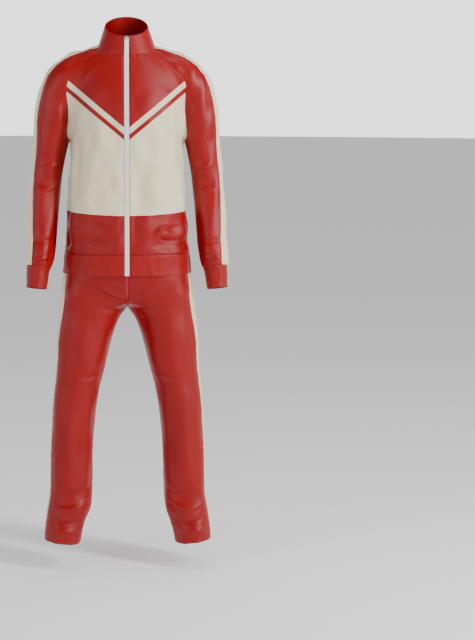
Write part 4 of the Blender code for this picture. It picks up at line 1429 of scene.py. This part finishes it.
@dataclass
class Studio:
    """The pale seamless floor, the soft lights and the camera."""

    camera_distance: float = 5.8
    metres_per_pixel: float = 0.003
    picture: tuple[int, int] = (475, 640)
    sensor: float = 36.0
    middle_column: float = 126.2
    level_row: float = 50.0
    roll: float = math.radians(0.29)
    floor_radius: float = 30.0
    horizon_glow: float = 2.2
    room_light: float = 0.32
    glow_edges: Point2 = (0.10, 0.30)

    def camera(self) -> None:
        """Sets up the camera as the photograph was framed."""
        width, height = self.picture
        focal = self.camera_distance / self.metres_per_pixel
        lens = bpy.data.cameras.new("camera")
        lens.sensor_fit = "VERTICAL"
        lens.sensor_height = self.sensor
        lens.lens = self.sensor * focal / height
        lens.clip_end = 60.0
        holder = linked("camera", lens)
        yaw = math.atan((width / 2 - self.middle_column) / focal)
        pitch = math.atan((height / 2 - self.level_row) / focal)
        turn = Matrix.Rotation(-yaw, 4, "Z") @ Matrix.Rotation(math.pi / 2 - pitch, 4, "X")
        turn = turn @ Matrix.Rotation(self.roll, 4, "Z")
        holder.matrix_world = Matrix.Translation((0.0, -self.camera_distance, 0.0)) @ turn
        bpy.context.scene.camera = holder

    def floor(self, materials: Materials) -> None:
        """Lays the round floor."""
        mesh = bmesh.new()
        bmesh.ops.create_circle(mesh, cap_ends=True, segments=96, radius=self.floor_radius)
        bmesh.ops.translate(mesh, verts=mesh.verts, vec=(0.0, 0.0, FLOOR_LEVEL))
        data = settled("floor", mesh)
        data.materials.append(materials["paper"])
        linked("floor", data)

    def light(self, name: str, place: Point3, aim: Point3, size: Point2, power: float) -> None:
        """Hangs one soft box.

        Args:
            name: The light's name.
            place: Where it hangs.
            aim: What it points at.
            size: Its width and height.
            power: Its power in watts.
        """
        lamp = bpy.data.lights.new(name, "AREA")
        lamp.shape = "RECTANGLE"
        lamp.size, lamp.size_y = size
        lamp.energy = power
        holder = linked(name, lamp)
        holder.location = place
        holder.rotation_euler = (Vector(aim) - Vector(place)).to_track_quat("-Z", "Y").to_euler()

    def sky(self) -> None:
        """Fills the room with even pale light, brighter along the horizon."""
        world = bpy.data.worlds.new("studio")
        world.use_nodes = True
        tree = world.node_tree
        background = tree.nodes["Background"]
        where = tree.nodes.new("ShaderNodeTexCoord")
        split = tree.nodes.new("ShaderNodeSeparateXYZ")
        glow = tree.nodes.new("ShaderNodeMapRange")
        glow.interpolation_type = "SMOOTHSTEP"
        values = (*self.glow_edges, self.horizon_glow, self.room_light)
        for name, value in zip(("From Min", "From Max", "To Min", "To Max"), values):
            glow.inputs[name].default_value = value
        tree.links.new(where.outputs["Generated"], split.inputs[0])
        tree.links.new(split.outputs["Z"], glow.inputs["Value"])
        tree.links.new(glow.outputs["Result"], background.inputs["Strength"])
        background.inputs["Color"].default_value = (1.0, 1.0, 1.0, 1.0)
        bpy.context.scene.world = world

    def build(self, materials: Materials) -> None:
        """Builds the studio."""
        self.camera()
        self.floor(materials)
        self.sky()
        self.light("key", (2.9, -2.2, 0.9), (0.0, 0.0, -0.7), (0.6, 2.8), 170.0)
        self.light("fill", (-2.9, -2.6, 0.2), (0.0, 0.0, -0.9), (0.5, 2.6), 24.0)
        self.light("top", (0.3, -0.3, 2.4), (0.0, 0.0, -0.4), (1.4, 1.0), 30.0)


# ---------------------------------------------------------------- the whole suit


def all_materials() -> Materials:
    """Builds every finish, by name."""
    finishes = [
        Tricot("red_tricot", RED),
        Tricot("cream_tricot", CREAM, roughness=0.44),
        PrintedTricot("printed_tricot", CREAM, roughness=0.42),
        Tricot("red_band", shaded(RED, 1.06), roughness=0.46, wale_pitch=0.0014, knit_depth=0.00014),
        Tricot("red_collar", RED, roughness=0.42),
        WovenTape("zip_tape"),
        Moulded("zip_teeth", WHITE_TAPE, roughness=0.30),
        CastMetal("zip_metal"),
        Moulded("pull_plastic", WHITE_PLASTIC),
        Thread("thread_red", shaded(RED, 0.82)),
        Thread("thread_cream", shaded(CREAM, 0.92)),
        Paper("paper"),
    ]
    return {finish.name: finish.material() for finish in finishes}


def cloth_points() -> tuple[KDTree, list[str]]:
    """Every packed point of cloth and tape, and the node that each belongs to."""
    places, owners = [], []
    for name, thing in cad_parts.items():
        if name in ("zip_slider", "zip_pull"):
            continue
        for vertex in thing.data.vertices:
            places.append(vertex.co)
            owners.append(name)
    return point_tree(places), owners


def near_panel(panel: Panel, reach: float = 0.002) -> Choice:
    """Says which places lie within reach of another panel's edge."""
    tree = point_tree(panel.points()[panel.layer("rim") > Panel.MARKED])

    def wanted(spots: np.ndarray) -> np.ndarray:
        """True where a place lies near."""
        return np.array([tree.find(spot)[2] < reach for spot in spots])

    return wanted


def above_hem(height: float) -> Choice:
    """Says which places lie lower than this height over the trousers' hem."""
    return lambda spots: spots[:, 2] < TROUSER_HEM + height


def sew(jacket: Jacket, trousers: Trousers, materials: Materials) -> None:
    """Sews the rows of stitches that show, each at its own distance from an edge."""
    hem_inset, stripe_inset, band_inset = 0.020, 0.0025, 0.003
    red = Sewing("stitches_red", "thread_red", "red_tricot")
    cream = Sewing("stitches_cream", "thread_cream", "cream_tricot")
    for side in ("left", "right"):
        stripe = trousers.panel(f"leg_stripe_{side}")
        for kind in ("front", "back"):
            leg = trousers.panel(f"leg_{kind}_{side}")
            red.along_edge(leg, above_hem(0.030), hem_inset)
            red.along_edge(leg, near_panel(stripe), stripe_inset)
        cream.along_edge(stripe, above_hem(0.022), hem_inset)
        stripe = jacket.panel(f"sleeve_stripe_{side}")
        for kind in ("front", "back"):
            sleeve = jacket.panel(f"sleeve_{kind}_{side}")
            red.along_edge(sleeve, near_panel(stripe), stripe_inset)
    back, band = jacket.panel("back"), jacket.panel("hem_band")
    for body in (jacket.panel("front_left"), jacket.panel("front_right"), back):
        red.along_edge(body, near_panel(band), band_inset)
    red.along_edge(jacket.panel("collar"), near_panel(back), band_inset)
    red.finish_up(materials)
    cream.finish_up(materials)


def main() -> None:
    """Builds the studio, then the jacket, the trousers, their sewing and the zip."""
    logging.basicConfig(level=logging.INFO, format="%(message)s")
    materials = all_materials()
    Studio().build(materials)
    tree, owners = cloth_points()
    jacket, trousers = Jacket(), Trousers()
    for garment in (jacket, trousers):
        garment.make(tree, owners)
    share_directions(jacket.panels + trousers.panels)
    for garment in (jacket, trousers):
        garment.hang()
    sew(jacket, trousers, materials)
    for garment in (jacket, trousers):
        garment.dress(materials)
    ZipFastener().build(materials)


if __name__ == "__main__":
    main()
